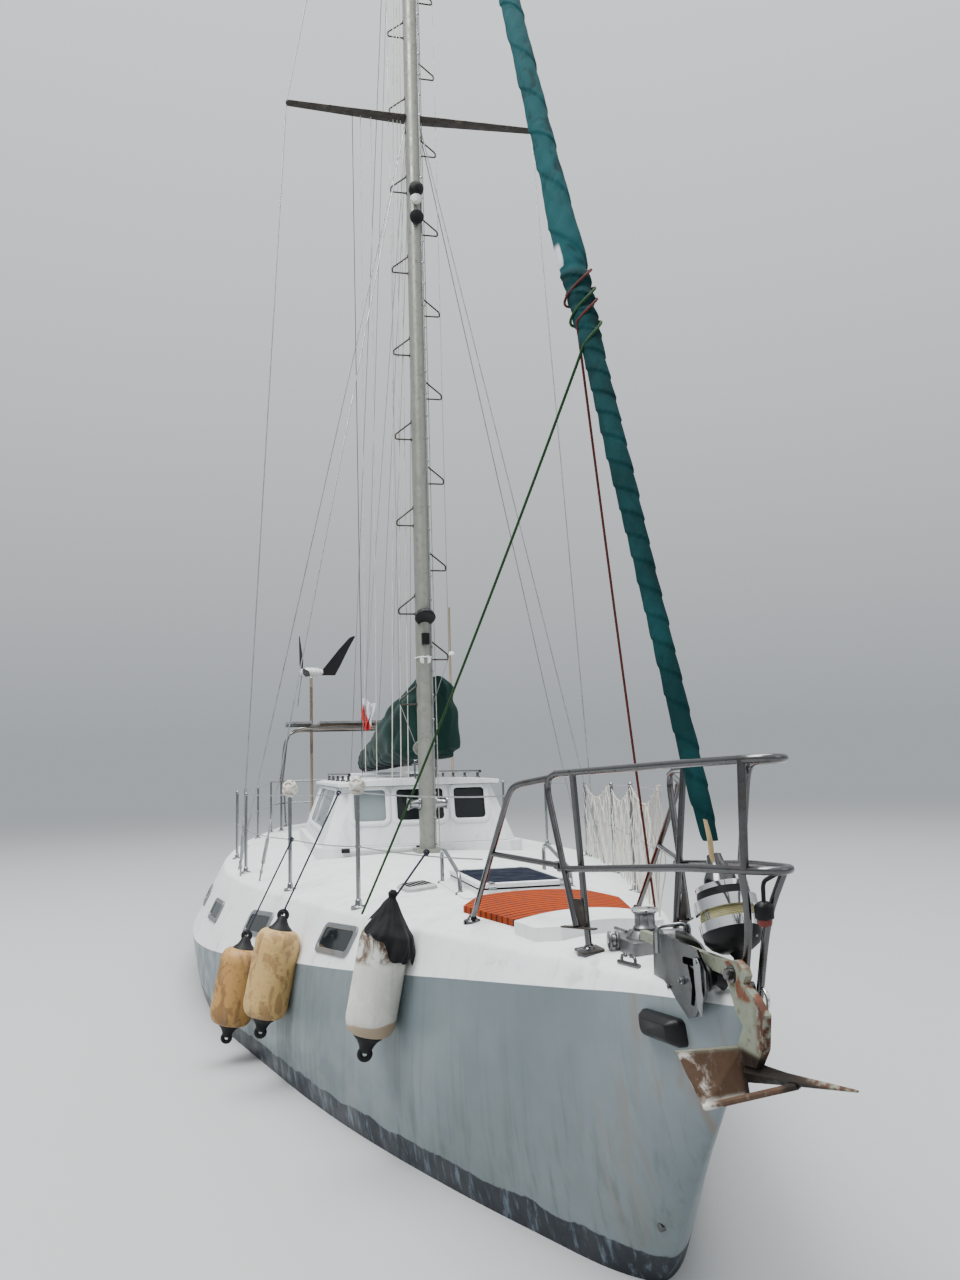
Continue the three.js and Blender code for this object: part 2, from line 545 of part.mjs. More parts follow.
// The roller and the anchor lie just to starboard of the stem.
const ROLLER = { y: -62, half: 38, axle: [5945, 1118], axleRadius: 22 };
const shankFoot = ROLLER.axle[1] + ROLLER.axleRadius * Math.cos(Math.PI / 12) + SEAT;
function bowRoller() {
  const outer = sidePlate([[5600, 1060], [5610, 1195], [5700, 1200], [5930, 1192], [5985, 1140],
    [5985, 1090],
    [5900, 1000], [5850, 985], [5680, 1060]], ROLLER.y - ROLLER.half - 4, ROLLER.y - ROLLER.half + 4);
  const inner = sidePlate([[5600, 1090], [5610, 1195], [5700, 1200], [5790, 1180], [5850, 1146],
    [6000, 1146],
    [6000, 1096], [5900, 1088]], ROLLER.y + ROLLER.half - 4, ROLLER.y + ROLLER.half + 4);
  const floor = box(5600, 5880, ROLLER.y - ROLLER.half, ROLLER.y + ROLLER.half, 1100, 1107);
  const axle = rod([ROLLER.axle[0], ROLLER.y - ROLLER.half - 8, ROLLER.axle[1]],
    [ROLLER.axle[0], ROLLER.y + ROLLER.half + 2, ROLLER.axle[1]], ROLLER.axleRadius, 12);
  return onFoot([outer, inner, floor, axle]).subtract(hullForm().translate([0, -SEAT, 0]))
    .subtract(DECK.translate([0, -SEAT, 0]));
}

// Plough anchor: shank and hooked neck in one plate, a near blade across it, a far blade and the point.
const ANCHOR = {
  plate: 11,
  neck: [[6050, 1180], [6105, 1192], [6150, 1178], [6162, 1160], [6146, 1137], [6205, 1112], [6251, 1079],
    [6235, 991], [6191, 936], [6124, 925], [6082, 950], [6132, 1026], [6090, 1061], [6070, 1100]],
  nearBlade: [[[6084, -64, 965], [6104, -64, 965], [6134, -64, 846], [6114, -64, 846]],
    [[6084, -250, 967], [6094, -250, 967], [6150, -200, 831], [6140, -200, 831]]],
  farBlade: [[[6128, -54, 925], [6128, -54, 940], [6350, -50, 950], [6350, -50, 938]],
    [[6176, 30, 896], [6176, 30, 905], [6236, 26, 897], [6236, 26, 888]]],
  point: [[[6110, -58, 876], [6110, -74, 905], [6120, -60, 938], [6126, -30, 905]],
    [[6300, -50, 922], [6300, -64, 936], [6305, -48, 954], [6310, -30, 938]],
    [[6600, -40, 992], [6600, -44, 995], [6600, -40, 998], [6600, -36, 995]]],
  bar: [[6145, -200, 838], [6358, -51, 938]],
  barRadius: 9,
};

function anchor() {
  const shank = sidePlate([[5420, shankFoot], [5420, 1170], ...ANCHOR.neck, [6040, shankFoot]],
    ROLLER.y - ANCHOR.plate, ROLLER.y + ANCHOR.plate);
  return join([shank, loft(ANCHOR.nearBlade), loft(ANCHOR.farBlade), loft(ANCHOR.point),
    rod(...ANCHOR.bar, ANCHOR.barRadius, 10)]);
}

const windlassBase = () => onFoot([box(WINDLASS.x - 140, WINDLASS.x + 95, -85, 85, 1050, 1120),
  cone([WINDLASS.x, 0, 1100], [WINDLASS.x, 0, WINDLASS.top], 62, 50, 16)]);
const windlassDrum = () => turned([WINDLASS.x, 0, WINDLASS.top + SEAT], [0, 0, 1],
  [[0, 42], [8, 42], [14, 34], [52, 34], [60, 46], [68, 46]], 16);

// Rig
function mast() {
  const ring = (x, z) => Array.from({ length: 16 }, (_, k) => {
    const a = (2 * Math.PI * k) / 16;
    return [x + MAST.halfLong * Math.cos(a), MAST.halfWide * Math.sin(a), z];
  });
  const spar = loft([ring(MAST.x, deckHeight(MAST.x, 0) - 30), ring(MAST.x - MAST.rake, MAST.head)]);
  const crane = sidePlate([[560, 13100], [560, 13180], [790, 13180], [790, 13080], [700, 13000]], -22, 22);
  const heel = box(MAST.x - 130, MAST.x + 130, -95, 95, 1000, 1110);
  const lugs = [BOOM.zFore + 44, BOOM.zFore - 44].map(z => box(BOOM.pin - 20, MAST.x - 60, -20, 20,
    z - 7, z + 7));
  const pin = rod([BOOM.pin, 0, BOOM.zFore - 50], [BOOM.pin, 0, BOOM.zFore + 50], 9, 12);
  return join([spar, crane, heel, ...lugs, pin, ...mastSteps()]).subtract(DECK.translate([0, 0, SEAT]));
}
const mastX = z => MAST.x - MAST.rake * (z - MAST.foot) / (MAST.head - MAST.foot);

// Folded steps up both sides of the mast: a tread, a short upright and a brace.
const STEPS = { starboard: 2246, port: 2608, pitch: 735, count: 13, reach: 198, upright: 40, brace: 155,
  bar: 7 };
function mastSteps() {
  const sides = [[-1, STEPS.starboard], [1, STEPS.port]];
  return sides.flatMap(([s, first]) => Array.from({ length: STEPS.count },
    (_, k) => {
      const z = first + k * STEPS.pitch;
      const x = mastX(z);
      const root = s * (MAST.halfWide - 12);
      return sweep([[x, root, z], [x, s * STEPS.reach, z], [x, s * STEPS.reach, z + STEPS.upright],
        [x, root, z + STEPS.brace]], STEPS.bar, 4);
    }));
}

function spreader(s) {
  const x = mastX(SPREADER.z);
  const ring = (y, half, thick, z) => [[-1, 0], [-0.5, 1], [0.5, 1], [1, 0], [0.5, -1], [-0.5, -1]]
    .map(([a, b]) => [x + a * half, s * y, z + b * thick / 2]);
  return loft([ring(MAST.halfWide + SEAT, SPREADER.rootLong / 2, 44, SPREADER.z),
    ring(SPREADER.tip, SPREADER.tipLong / 2, SPREADER.thick, SPREADER.z + 25)]);
}

const WIRE = 4.5;
function capShroud(s) {
  const x = mastX(SPREADER.z);
  return onFoot([sweep([[mastX(13000), s * (MAST.halfWide + SEAT + WIRE), 13020],
    [x, s * (SPREADER.tip + WIRE + 3), SPREADER.z + 25],
    [620, s * 1440, deckHeight(620, 1440) - BURIED]], WIRE, 6)]);
}
function lowerShrouds(s) {
  const z = 7240;
  const y = s * (MAST.halfWide + SEAT + 9);
  return onFoot([
    sweep([[mastX(z) + 25, y, z], [1200, s * 1300, deckHeight(1200, 1300) - BURIED]], WIRE, 6),
    sweep([[mastX(z) - 25, y, z], [180, s * 1460, deckHeight(180, 1460) - BURIED]], WIRE, 6),
    box(mastX(z) - 34, mastX(z) + 34, Math.min(y - s * 9, y + s * 9), Math.max(y - s * 9, y + s * 9),
      z - 30, z + 22),
  ]);
}
const backstay = () => onFoot([sweep([[560 - 6, 0, 13150], [-6020, 0, deckHeight(-6020, 0) - BURIED]],
  WIRE, 6)]);

const STAY = { foot: [6020, 0, 1085], head: [795, 0, 13130], sag: 15 };
const stayAt = z => {
  const f = (z - STAY.foot[2]) / (STAY.head[2] - STAY.foot[2]);
  const sag = STAY.sag * 4 * f * (1 - f);
  return [STAY.foot[0] + (STAY.head[0] - STAY.foot[0]) * f - sag, 0, z];
};
function furledHeadsail() {
  const rows = [[1490, 24], [1620, 33], [2500, 37], [2800, 43], [3350, 43], [3700, 60], [4000, 66],
    [4500, 56], [6000, 56], [8000, 52], [10000, 42], [11600, 30], [12100, 20]];
  return loft(rows.map(([z, r]) => {
    const [x] = stayAt(z);
    return Array.from({ length: 16 }, (_, k) => {
      const a = (2 * Math.PI * k) / 16;
      return [x + r * Math.cos(a), r * Math.sin(a), z];
    });
  }));
}
const forestay = () => sweep([stayAt(12103.5), stayAt(12600), [798.1, 0, 13120]], 9, 8);

function furlerDrum() {
  const foot = [6022, 0, 1082];
  const dir = vec(stayAt(1480)).sub(vec(foot)).normalize().toArray();
  return join([
    turned(foot, dir, [[0, 14], [114, 14], [120, 50], [145, 84], [172, 88], [200, 88], [202, 80],
      [228, 80], [230, 92],
      [262, 92], [266, 78], [290, 76], [295, 58], [350, 44], [398, 24]], 16),
  ]).subtract(DECK.translate([0, 0, SEAT]));
}

function boom() {
  const tube = cone([BOOM.fore, 0, BOOM.zFore], [BOOM.aft, 0, BOOM.zAft], BOOM.radius, BOOM.radius * 0.9,
    12);
  const nose = box(BOOM.fore - 30, BOOM.pin + 18, -18, 18, BOOM.zFore - 37 + SEAT, BOOM.zFore + 37 - SEAT);
  return tube.add(nose).subtract(rod([BOOM.pin, 0, BOOM.zFore - 60], [BOOM.pin, 0, BOOM.zFore + 60],
    9 + BEARING, 12));
}
const boomZ = x => BOOM.zFore + (BOOM.zAft - BOOM.zFore) * (BOOM.fore - x) / (BOOM.fore - BOOM.aft);

function sailCover() {
  // x, half breadth, height above the boom, drop below its centre, lean to port
  const rows = [[505, 150, 600, 30, 100], [400, 245, 600, 85, 105], [230, 262, 530, 100, 60],
    [0, 268, 460, 105, 20], [-300, 262, 400, 105, 0], [-1000, 235, 290, 95, 0],
    [-2000, 190, 230, 90, 0], [-3000, 145, 180, 85, 0], [-3700, 95, 130, 70, 0]];
  const shape = rows.map(([x, half, up, drop, lean]) => {
    const z = boomZ(x);
    const side = [[0.5, up * 0.96], [0.85, up * 0.75], [1, up * 0.45], [0.97, -drop * 0.1],
      [0.7, -drop * 0.85]];
    return [[x, lean, z + up], ...side.map(([f, h]) => [x, lean + half * f, z + h]),
      [x, lean * 0.4, z - drop], ...side.reverse().map(([f, h]) => [x, lean - half * f, z + h])];
  });
  return loft(shape).subtract(cone([BOOM.fore + 60, 0, boomZ(BOOM.fore + 60)],
    [BOOM.aft - 60, 0, boomZ(BOOM.aft - 60)],
    BOOM.radius + 1, BOOM.radius * 0.9 + 1, 12));
}

// Stern gear
function generatorPole() {
  const foot = deckHeight(-5450, 560);
  return join([rod([-5450, -560, foot - BURIED], [-5450, -560, 3040], 21, 12),
    cone([-5450, -560, foot - BURIED], [-5450, -560, foot + 30], 70, 40, 12)])
    .subtract(DECK.translate([0, 0, SEAT]));
}
const HUB = { x: -5450, y: -560, z: 3125, aim: 82.4 };
const aimDir = () => [Math.cos(THREE.MathUtils.degToRad(HUB.aim)),
  -Math.sin(THREE.MathUtils.degToRad(HUB.aim)), 0];
const along = d => [HUB.x + aimDir()[0] * d, HUB.y + aimDir()[1] * d, HUB.z];
function generatorHead() {
  const body = turned(along(-170), aimDir(), [[0, 30], [50, 48], [150, 60], [230, 62], [262, 52]], 12);
  const neck = rod([HUB.x, HUB.y, 3040 + SEAT], [HUB.x, HUB.y, HUB.z], 30, 12);
  const fin = [[-70, -46], [-136, -50], [-350, -50], [-650, 530], [-545, 500], [-150, 20]];
  const thick = [-aimDir()[1] * 3, aimDir()[0] * 3];
  const face = side => fin.map(([d, up]) => [along(d)[0] + side * thick[0],
    along(d)[1] + side * thick[1], HUB.z + up]);
  return join([body, neck, loft([face(1), face(-1)])]);
}
function generatorRotor() {
  const hub = turned(along(92 + SEAT), aimDir(), [[0, 44], [26, 50], [60, 34], [78, 8]], 12);
  const dir = vec(aimDir());
  const flat = new THREE.Vector3(-dir.y, dir.x, 0);
  const centre = vec(along(125));
  const blades = [-8, 112, 232].map(deg => {
    const t = THREE.MathUtils.degToRad(deg);
    const out = flat.clone().multiplyScalar(Math.cos(t)).add(new THREE.Vector3(0, 0, Math.sin(t)));
    const across = dir.clone().cross(out);
    const rows = [[30, 26, 20], [150, 62, 16], [420, 44, 8], [560, 30, 4], [575, 10, 4]];
    return loft(rows.map(([r, half, pitch]) => {
      const a = THREE.MathUtils.degToRad(pitch);
      const chord = across.clone().multiplyScalar(Math.cos(a)).addScaledVector(dir, Math.sin(a));
      return [[-half, 0], [-half * 0.3, 5], [half, 0], [-half * 0.3, -4]].map(([c, f]) => centre.clone()
        .addScaledVector(out, r).addScaledVector(chord, c).addScaledVector(dir, f).toArray());
    }));
  });
  return join([hub, ...blades]);
}
const LAMP = { x: -4500, y: 1240, top: 3900, arm: 3250 };
function lampPole() {
  const foot = deckHeight(LAMP.x, LAMP.y) - BURIED;
  return onFoot([rod([LAMP.x, LAMP.y, foot], [LAMP.x, LAMP.y, LAMP.top], 17, 10),
    rod([LAMP.x, LAMP.y, LAMP.arm], [LAMP.x + 120, LAMP.y, LAMP.arm], 8, 6),
    cone([LAMP.x + 130, LAMP.y, LAMP.arm - 20], [LAMP.x + 130, LAMP.y, LAMP.arm + 35], 40, 40, 10)]);
}

const BIMINI = { fore: -4200, aft: -5250, half: 930, z: 2290 };
function biminiFrame() {
  const hoop = (x, topX) => sweep([[x, BIMINI.half + 60, 1630], [topX, BIMINI.half, 2180],
    [topX, BIMINI.half - 130, BIMINI.z],
    [topX, -BIMINI.half + 130, BIMINI.z], [topX, -BIMINI.half, 2180], [x, -BIMINI.half - 60, 1630]], 12.5);
  const legs = [1, -1].flatMap(s => [
    rod([-4780, s * 990, deckHeight(-4780, 990) - BURIED], [-4800, s * 990, 1660], 14),
    rod([-4800, s * 990, 1640], [BIMINI.fore, s * 990, 1645], 12),
    rod([-4800, s * 990, 1640], [BIMINI.aft, s * 990, 1645], 12),
  ]);
  return onFoot([hoop(BIMINI.fore, BIMINI.fore), hoop(BIMINI.aft, BIMINI.aft), ...legs]);
}
function biminiTop() {
  const low = biminiFrame().boundingBox().max[2] + SEAT;
  return box(BIMINI.aft - 40, BIMINI.fore + 40, -BIMINI.half + 90, BIMINI.half - 90, low, low + 30);
}

// Solar panels on two cross rails over the bimini.
const PANEL = { fore: -4370, aft: -5050, thick: 34, spans: [[-930, -610], [-500, 500], [610, 930]],
  rail: 22 };
function solarPanels() {
  const low = biminiTop().boundingBox().max[2] + SEAT;
  const rails = [PANEL.fore - 150, PANEL.aft + 150].map(x => box(x - 12, x + 12, -930, 930, low,
    low + PANEL.rail));
  const panels = PANEL.spans.map(([a, b]) => box(PANEL.aft, PANEL.fore, a, b, low + PANEL.rail - 4,
    low + PANEL.rail - 4 + PANEL.thick));
  return join([...rails, ...panels]);
}

// Fenders hung on the starboard side
const FENDERS = [
  { name: 'fender_bow', x: 4060, z: 800, radius: 114, length: 690 },
  { name: 'fender_middle', x: 2770, z: 620, radius: 125, length: 690 },
  { name: 'fender_aft', x: 2170, z: 445, radius: 130, length: 660 },
];
const FENDER_LEAN = 0.2;
function fender({ x, z, radius, length }) {
  const s = stationAt(x);
  const y = -(s.kneeHalf + radius * 0.96);
  const half = length / 2;
  const lower = [[-half, 22], [-half + 62, 28], [-half + 100, 56], [-half + 116, radius * 0.7],
    [-half + 190, radius]];
  const upper = lower.map(([d, r]) => [-d, r]).reverse();
  const clear = [[0, -SEAT, 0], [0, -SEAT, SEAT], [0, -SEAT, -SEAT], [0, 0, 0]];
  return clear.reduce((solid, by) => solid.subtract(hullForm().translate(by)).subtract(DECK.translate(by)),
    turned([x, y, z], [0, FENDER_LEAN, 1], [...lower, ...upper], 16));
}

// Nodes
const FINISH = {
  hull_paint: [0xc6cac8, 0.1, 0.5], deck_paint: [0xe4e6e4, 0, 0.6], antifoul: [0x14181c, 0, 0.8],
  bronze: [0x9a7b42, 0.9, 0.4], steel: [0xb9bdc0, 0.9, 0.3], galvanised: [0x8a8a80, 0.6, 0.7],
  alloy: [0xa9aaa2, 0.7, 0.5], black_alloy: [0x2a2622, 0.4, 0.6], glass: [0x1b2024, 0.1, 0.1],
  pad: [0xc0481c, 0, 0.9], sail_cloth: [0x1f6467, 0, 0.9], cover_cloth: [0x0f2b26, 0, 0.9],
  fender: [0xd8d2bc, 0, 0.5], blade: [0x15161a, 0, 0.5], canvas: [0x8a7350, 0, 0.9],
  solar: [0x10141f, 0.2, 0.2], drum: [0xa9adb0, 0.9, 0.25], pole: [0x9a8566, 0.2, 0.7],
  wire: [0x8d9092, 0.9, 0.4],
};
const material = key => new THREE.MeshStandardMaterial({
  color: FINISH[key][0], metalness: FINISH[key][1], roughness: FINISH[key][2],
});

const yacht = new THREE.Group();
yacht.name = 'sailing_yacht';

function addNode(name, solid, finish) {
  const mesh = solid.getMesh();
  const g = new THREE.BufferGeometry();
  g.setAttribute('position', new THREE.BufferAttribute(new Float32Array(mesh.vertProperties), 3));
  g.setIndex(Array.from(mesh.triVerts));
  g.computeVertexNormals();
  const node = new THREE.Mesh(g, material(finish));
  node.name = name;
  yacht.add(node);
}

addNode('hull', hull(), 'hull_paint');
for (const [name, solid] of deckPanels()) addNode(name, solid, 'deck_paint');
addNode('keel', keel(), 'antifoul');
addNode('shaft_bracket', shaftBracket(), 'bronze');
addNode('propeller', propeller(), 'bronze');
addNode('rudder', rudder(), 'antifoul');
addNode('foredeck_step', foredeckStep(), 'deck_paint');
addNode('foredeck_pad', foredeckPad(), 'pad');
addNode('hatch_coaming', hatchCoaming(), 'alloy');
addNode('hatch_lid', hatchLid(), 'glass');
addNode('cabin_skirt', cabinSkirt(), 'deck_paint');
for (const [name, solid] of Object.entries(cabinWalls())) addNode(name, solid, 'deck_paint');
for (const [name, w] of Object.entries(WINDOWS)) addNode(name, pane(w), 'glass');
addNode('cabin_roof', cabinRoof(), 'deck_paint');
addNode('slide_hatch', slideHatch(), 'deck_paint');
addNode('cabin_door', cabinDoor(), 'deck_paint');
addNode('locker_lid', lockerLid(), 'deck_paint');
addNode('steering_pedestal', pedestal(), 'steel');
addNode('steering_wheel', steeringWheel(), 'steel');
addNode('windlass_base', windlassBase(), 'alloy');
addNode('windlass_drum', windlassDrum(), 'alloy');
addNode('bow_roller', bowRoller(), 'steel');
addNode('anchor', anchor(), 'galvanised');
addNode('pulpit', pulpit(), 'steel');
addNode('pushpit', pushpit(), 'steel');
const PAIRS = {
  lifelines: [lifelines(-1), 'steel'], spreader: [spreader(-1), 'black_alloy'],
  cap_shroud: [capShroud(-1), 'wire'], lower_shrouds: [lowerShrouds(-1), 'wire'],
};
for (const [name, [solid, finish]] of Object.entries(PAIRS)) {
  addNode(`${name}_starboard`, solid, finish);
  addNode(`${name}_port`, solid.mirror([0, 1, 0]), finish);
}
addNode('mast', mast(), 'alloy');
addNode('backstay', backstay(), 'wire');
addNode('forestay', forestay(), 'wire');
addNode('furler_drum', furlerDrum(), 'drum');
addNode('furled_headsail', furledHeadsail(), 'sail_cloth');
addNode('boom', boom(), 'alloy');
addNode('sail_cover', sailCover(), 'cover_cloth');
addNode('generator_pole', generatorPole(), 'pole');
addNode('generator_head', generatorHead(), 'deck_paint');
addNode('generator_rotor', generatorRotor(), 'blade');
addNode('lamp_pole', lampPole(), 'pole');
addNode('bimini_frame', biminiFrame(), 'steel');
addNode('bimini_top', biminiTop(), 'canvas');
addNode('solar_panels', solarPanels(), 'solar');
for (const row of FENDERS) addNode(row.name, fender(row), 'fender');

export default yacht;
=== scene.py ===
import json
import math
import bmesh
import bpy
import numpy as np
from mathutils import Matrix, Vector

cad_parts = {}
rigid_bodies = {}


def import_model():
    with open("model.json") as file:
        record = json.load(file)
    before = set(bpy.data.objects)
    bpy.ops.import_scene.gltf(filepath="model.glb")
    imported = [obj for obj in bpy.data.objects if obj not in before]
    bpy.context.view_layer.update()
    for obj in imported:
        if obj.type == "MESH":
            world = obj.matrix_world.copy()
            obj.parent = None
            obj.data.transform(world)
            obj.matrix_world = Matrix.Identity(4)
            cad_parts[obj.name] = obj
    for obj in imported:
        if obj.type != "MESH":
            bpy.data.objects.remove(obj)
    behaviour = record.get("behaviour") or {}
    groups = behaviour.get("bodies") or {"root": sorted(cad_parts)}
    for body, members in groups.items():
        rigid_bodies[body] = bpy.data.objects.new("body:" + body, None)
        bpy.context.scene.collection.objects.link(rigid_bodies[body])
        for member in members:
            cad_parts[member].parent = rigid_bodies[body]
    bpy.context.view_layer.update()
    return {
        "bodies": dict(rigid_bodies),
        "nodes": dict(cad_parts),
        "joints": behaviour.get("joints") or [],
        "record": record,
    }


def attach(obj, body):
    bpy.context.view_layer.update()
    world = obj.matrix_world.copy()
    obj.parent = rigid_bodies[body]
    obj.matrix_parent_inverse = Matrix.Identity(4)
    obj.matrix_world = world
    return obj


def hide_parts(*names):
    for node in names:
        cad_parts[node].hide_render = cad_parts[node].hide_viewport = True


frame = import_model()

nodes = frame["nodes"]

# Camera: the boat lies with +X to the bow and +Y to port, the waterline at z 0
cameraView = {"at": (8.68, -1.34, 1.725), "heading": 12.84, "pitch": 7.3, "roll": 1.6, "lens": 28.125}


def makeCamera(view):
    heading, pitch, roll = (math.radians(view[key]) for key in ("heading", "pitch", "roll"))
    across = Vector((math.sin(heading), math.cos(heading), 0))
    ahead = Vector((-math.cos(heading), math.sin(heading), 0))
    forward = ahead * math.cos(pitch) + Vector((0, 0, math.sin(pitch)))
    level = Vector((0, 0, math.cos(pitch))) - ahead * math.sin(pitch)
    right = across * math.cos(roll) - level * math.sin(roll)
    up = across * math.sin(roll) + level * math.cos(roll)
    data = bpy.data.cameras.new("camera")
    data.lens, data.sensor_width, data.clip_end = view["lens"], 36, 500
    camera = bpy.data.objects.new("camera", data)
    camera.matrix_world = Matrix((right, up, -forward)).transposed().to_4x4()
    camera.location = view["at"]
    bpy.context.scene.collection.objects.link(camera)
    bpy.context.scene.camera = camera


makeCamera(cameraView)


# Shapes as whole arrays: every part is (points, list of face arrays)
# Faces of a grid of rows x cols points; either way round may close on itself.
def gridFaces(rows, cols, loopRows=False, loopCols=False):
    r = np.arange(rows if loopRows else rows - 1)[:, None]
    c = np.arange(cols if loopCols else cols - 1)[None, :]
    r2, c2 = (r + 1) % rows, (c + 1) % cols
    return np.stack([r * cols + c, r * cols + c2, r2 * cols + c2, r2 * cols + c], -1).reshape(-1, 4)


# A skin through closed rings (rows, cols, 3), with a flat face over both ends.
def skin(rings, capped=True, looped=False):
    rows, cols = rings.shape[:2]
    faces = [gridFaces(rows, cols, looped, True)]
    if capped and not looped:
        faces += [np.arange(cols)[None, ::-1], (rows - 1) * cols + np.arange(cols)[None, :]]
    return rings.reshape(-1, 3), faces


# Cubic curve through rows of values at knots; each slope is that between the two neighbours.
def curveThrough(knots, values, at):
    knots, values, at = (np.asarray(a, float) for a in (knots, values, at))
    last = len(knots) - 1
    before, after = np.clip(np.arange(last + 1) - 1, 0, last), np.clip(np.arange(last + 1) + 1, 0, last)
    slope = (values[after] - values[before]) / (knots[after] - knots[before])[:, None]
    i = np.clip(np.searchsorted(knots, at) - 1, 0, last - 1)
    h = (knots[i + 1] - knots[i])[:, None]
    t = np.clip((at - knots[i])[:, None] / h, 0, 1)
    return ((2 * t**3 - 3 * t**2 + 1) * values[i] + (t**3 - 2 * t**2 + t) * h * slope[i]
        + (3 * t**2 - 2 * t**3) * values[i + 1] + (t**3 - t**2) * h * slope[i + 1])


# The same points on a smooth curve, a step apart.
def smoothPath(points, step):
    points = np.asarray(points, float)
    knots = np.r_[0, np.cumsum(np.linalg.norm(np.diff(points, axis=0), axis=1))]
    return curveThrough(knots, points, np.linspace(0, knots[-1], max(3, int(knots[-1] / step) + 1)))


# Straight legs between corners, each corner rounded by p = (1-t)^2 a + 2t(1-t) corner + t^2 b.
def bentPath(corners, bend, steps=6):
    corners = np.asarray(corners, float)
    t = np.linspace(0, 1, steps)[:, None]
    out = [corners[:1]]
    for before, corner, after in zip(corners[:-2], corners[1:-1], corners[2:]):
        a, b = before - corner, after - corner
        near, far = (corner + v * min(bend / np.linalg.norm(v), 0.45) for v in (a, b))
        out.append((1 - t)**2 * near + 2 * t * (1 - t) * corner + t**2 * far)
    return np.vstack(out + [corners[-1:]])


def unit(v):
    return v / np.linalg.norm(v, axis=-1, keepdims=True)


# Two directions square to a path at each point, from the direction that its tangents lean to least.
def framesAlong(path):
    tangent = unit(np.gradient(path, axis=0))
    steady = np.linalg.eigh(tangent.T @ tangent)[1][:, 0]
    side = unit(np.cross(tangent, steady))
    return side, np.cross(tangent, side)


# A profile carried along a path: p = path + r (cos a side + sin a up), r may vary with row and angle.
def tube(path, radius, sides=12, looped=False, flat=1.0, turn=0.0):
    path = np.asarray(path, float)
    side, up = framesAlong(path)
    if looped:
        side, up = framesAlong(np.vstack([path[-1:], path, path[:1]]))
        side, up = side[1:-1], up[1:-1]
    angle = (np.arange(sides) / sides * 2 * np.pi)[None, :] + np.broadcast_to(turn, (len(path),))[:, None]
    r = np.broadcast_to(np.asarray(radius, float), (len(path), sides)) if np.ndim(radius) != 1 \
        else np.broadcast_to(np.asarray(radius, float)[:, None], (len(path), sides))
    rings = path[:, None] + (r * np.cos(angle))[..., None] * side[:, None] \
        + (flat * r * np.sin(angle))[..., None] * up[:, None]
    return skin(rings, looped=looped)


# A laid rope: three strands as lobes, r = R (0.8 + 0.2 |cos 1.5 (a - twist s)|), turning along the path.
def laidRope(path, radius, sides=12, lay=7.0, looped=False):
    step = radius * 0.9
    path = smoothPath(path, step)
    s = np.r_[0, np.cumsum(np.linalg.norm(np.diff(path, axis=0), axis=1))]
    a = np.arange(sides) / sides * 2 * np.pi
    lobes = 0.8 + 0.2 * np.abs(np.cos(1.5 * (a[None, :] - (2 * np.pi * s / (lay * radius))[:, None])))
    return tube(path, radius * lobes, sides, looped)


# A body of revolution: rows of (distance along the axis, radius) from a base point.
def turned(base, axis, rows, sides=32, squash=1.0):
    axis = unit(np.asarray(axis, float))
    first = unit(np.cross(axis, (0, 1, 0) if abs(axis[1]) < 0.9 else (1, 0, 0)))
    second = np.cross(axis, first)
    rows = np.asarray(rows, float)
    a = np.arange(sides) / sides * 2 * np.pi
    rings = np.asarray(base, float) + rows[:, :1, None] * axis + rows[:, 1:, None] * (
        np.cos(a)[:, None] * first + squash * np.sin(a)[:, None] * second)
    return skin(rings)


# A flat outline pushed along a direction.
def plate(outline, push):
    outline = np.asarray(outline, float)
    return skin(np.stack([outline, outline + np.asarray(push, float)]))


# An upright prism over a plan outline of (x, y).
def prism(outline, low, high):
    outline = np.asarray(outline, float)
    return plate(np.c_[outline, np.full(len(outline), low)], (0, 0, high - low))


def block(x, y, z):
    return prism([(x[0], y[0]), (x[1], y[0]), (x[1], y[1]), (x[0], y[1])], *z)


# Outline of a rectangle with round corners, centred on 0: quarter circles at its four corners.
def roundedOutline(width, height, corner, steps=6):
    a = np.linspace(0, np.pi / 2, steps)
    arc = corner * np.c_[np.cos(a), np.sin(a)] + (width / 2 - corner, height / 2 - corner)
    return np.vstack([arc, arc[::-1] * (-1, 1), arc * (-1, -1), arc[::-1] * (1, -1)])


# A plan outline set on a slanted face: p = centre + u across + v up.
def onFace(outline, centre, across, up):
    return np.asarray(centre, float) + outline[:, :1] * np.asarray(across, float) + outline[:,
        1:] * np.asarray(up, float)


def mirrored(part):
    return part[0] * (1, -1, 1), part[1]


def bothSides(parts):
    return parts + [mirrored(part) for part in parts]


# Puts parts into one mesh in whole arrays, closes seams and poles and turns the faces outward.
def meshFrom(name, parts):
    loops, starts, kinds, base, at = [], [], [], 0, 0
    for part in parts:
        for faces in part[1]:
            loops.append((np.asarray(faces) + base).ravel())
            starts.append(at + np.arange(len(faces)) * faces.shape[1])
            kinds.append(np.full(len(faces), part[2] if len(part) > 2 else 0))
            at += faces.size
        base += len(part[0])
    mesh = bpy.data.meshes.new(name)
    mesh.vertices.add(base)
    mesh.vertices.foreach_set("co", np.vstack([part[0] for part in parts]).ravel())
    mesh.loops.add(at)
    mesh.loops.foreach_set("vertex_index", np.concatenate(loops).astype(np.int32))
    mesh.polygons.add(sum(len(s) for s in starts))
    mesh.polygons.foreach_set("loop_start", np.concatenate(starts).astype(np.int32))
    mesh.polygons.foreach_set("material_index", np.concatenate(kinds).astype(np.int32))
    mesh.update(calc_edges=True)
    mesh.validate()
    tidy(mesh)
    return mesh


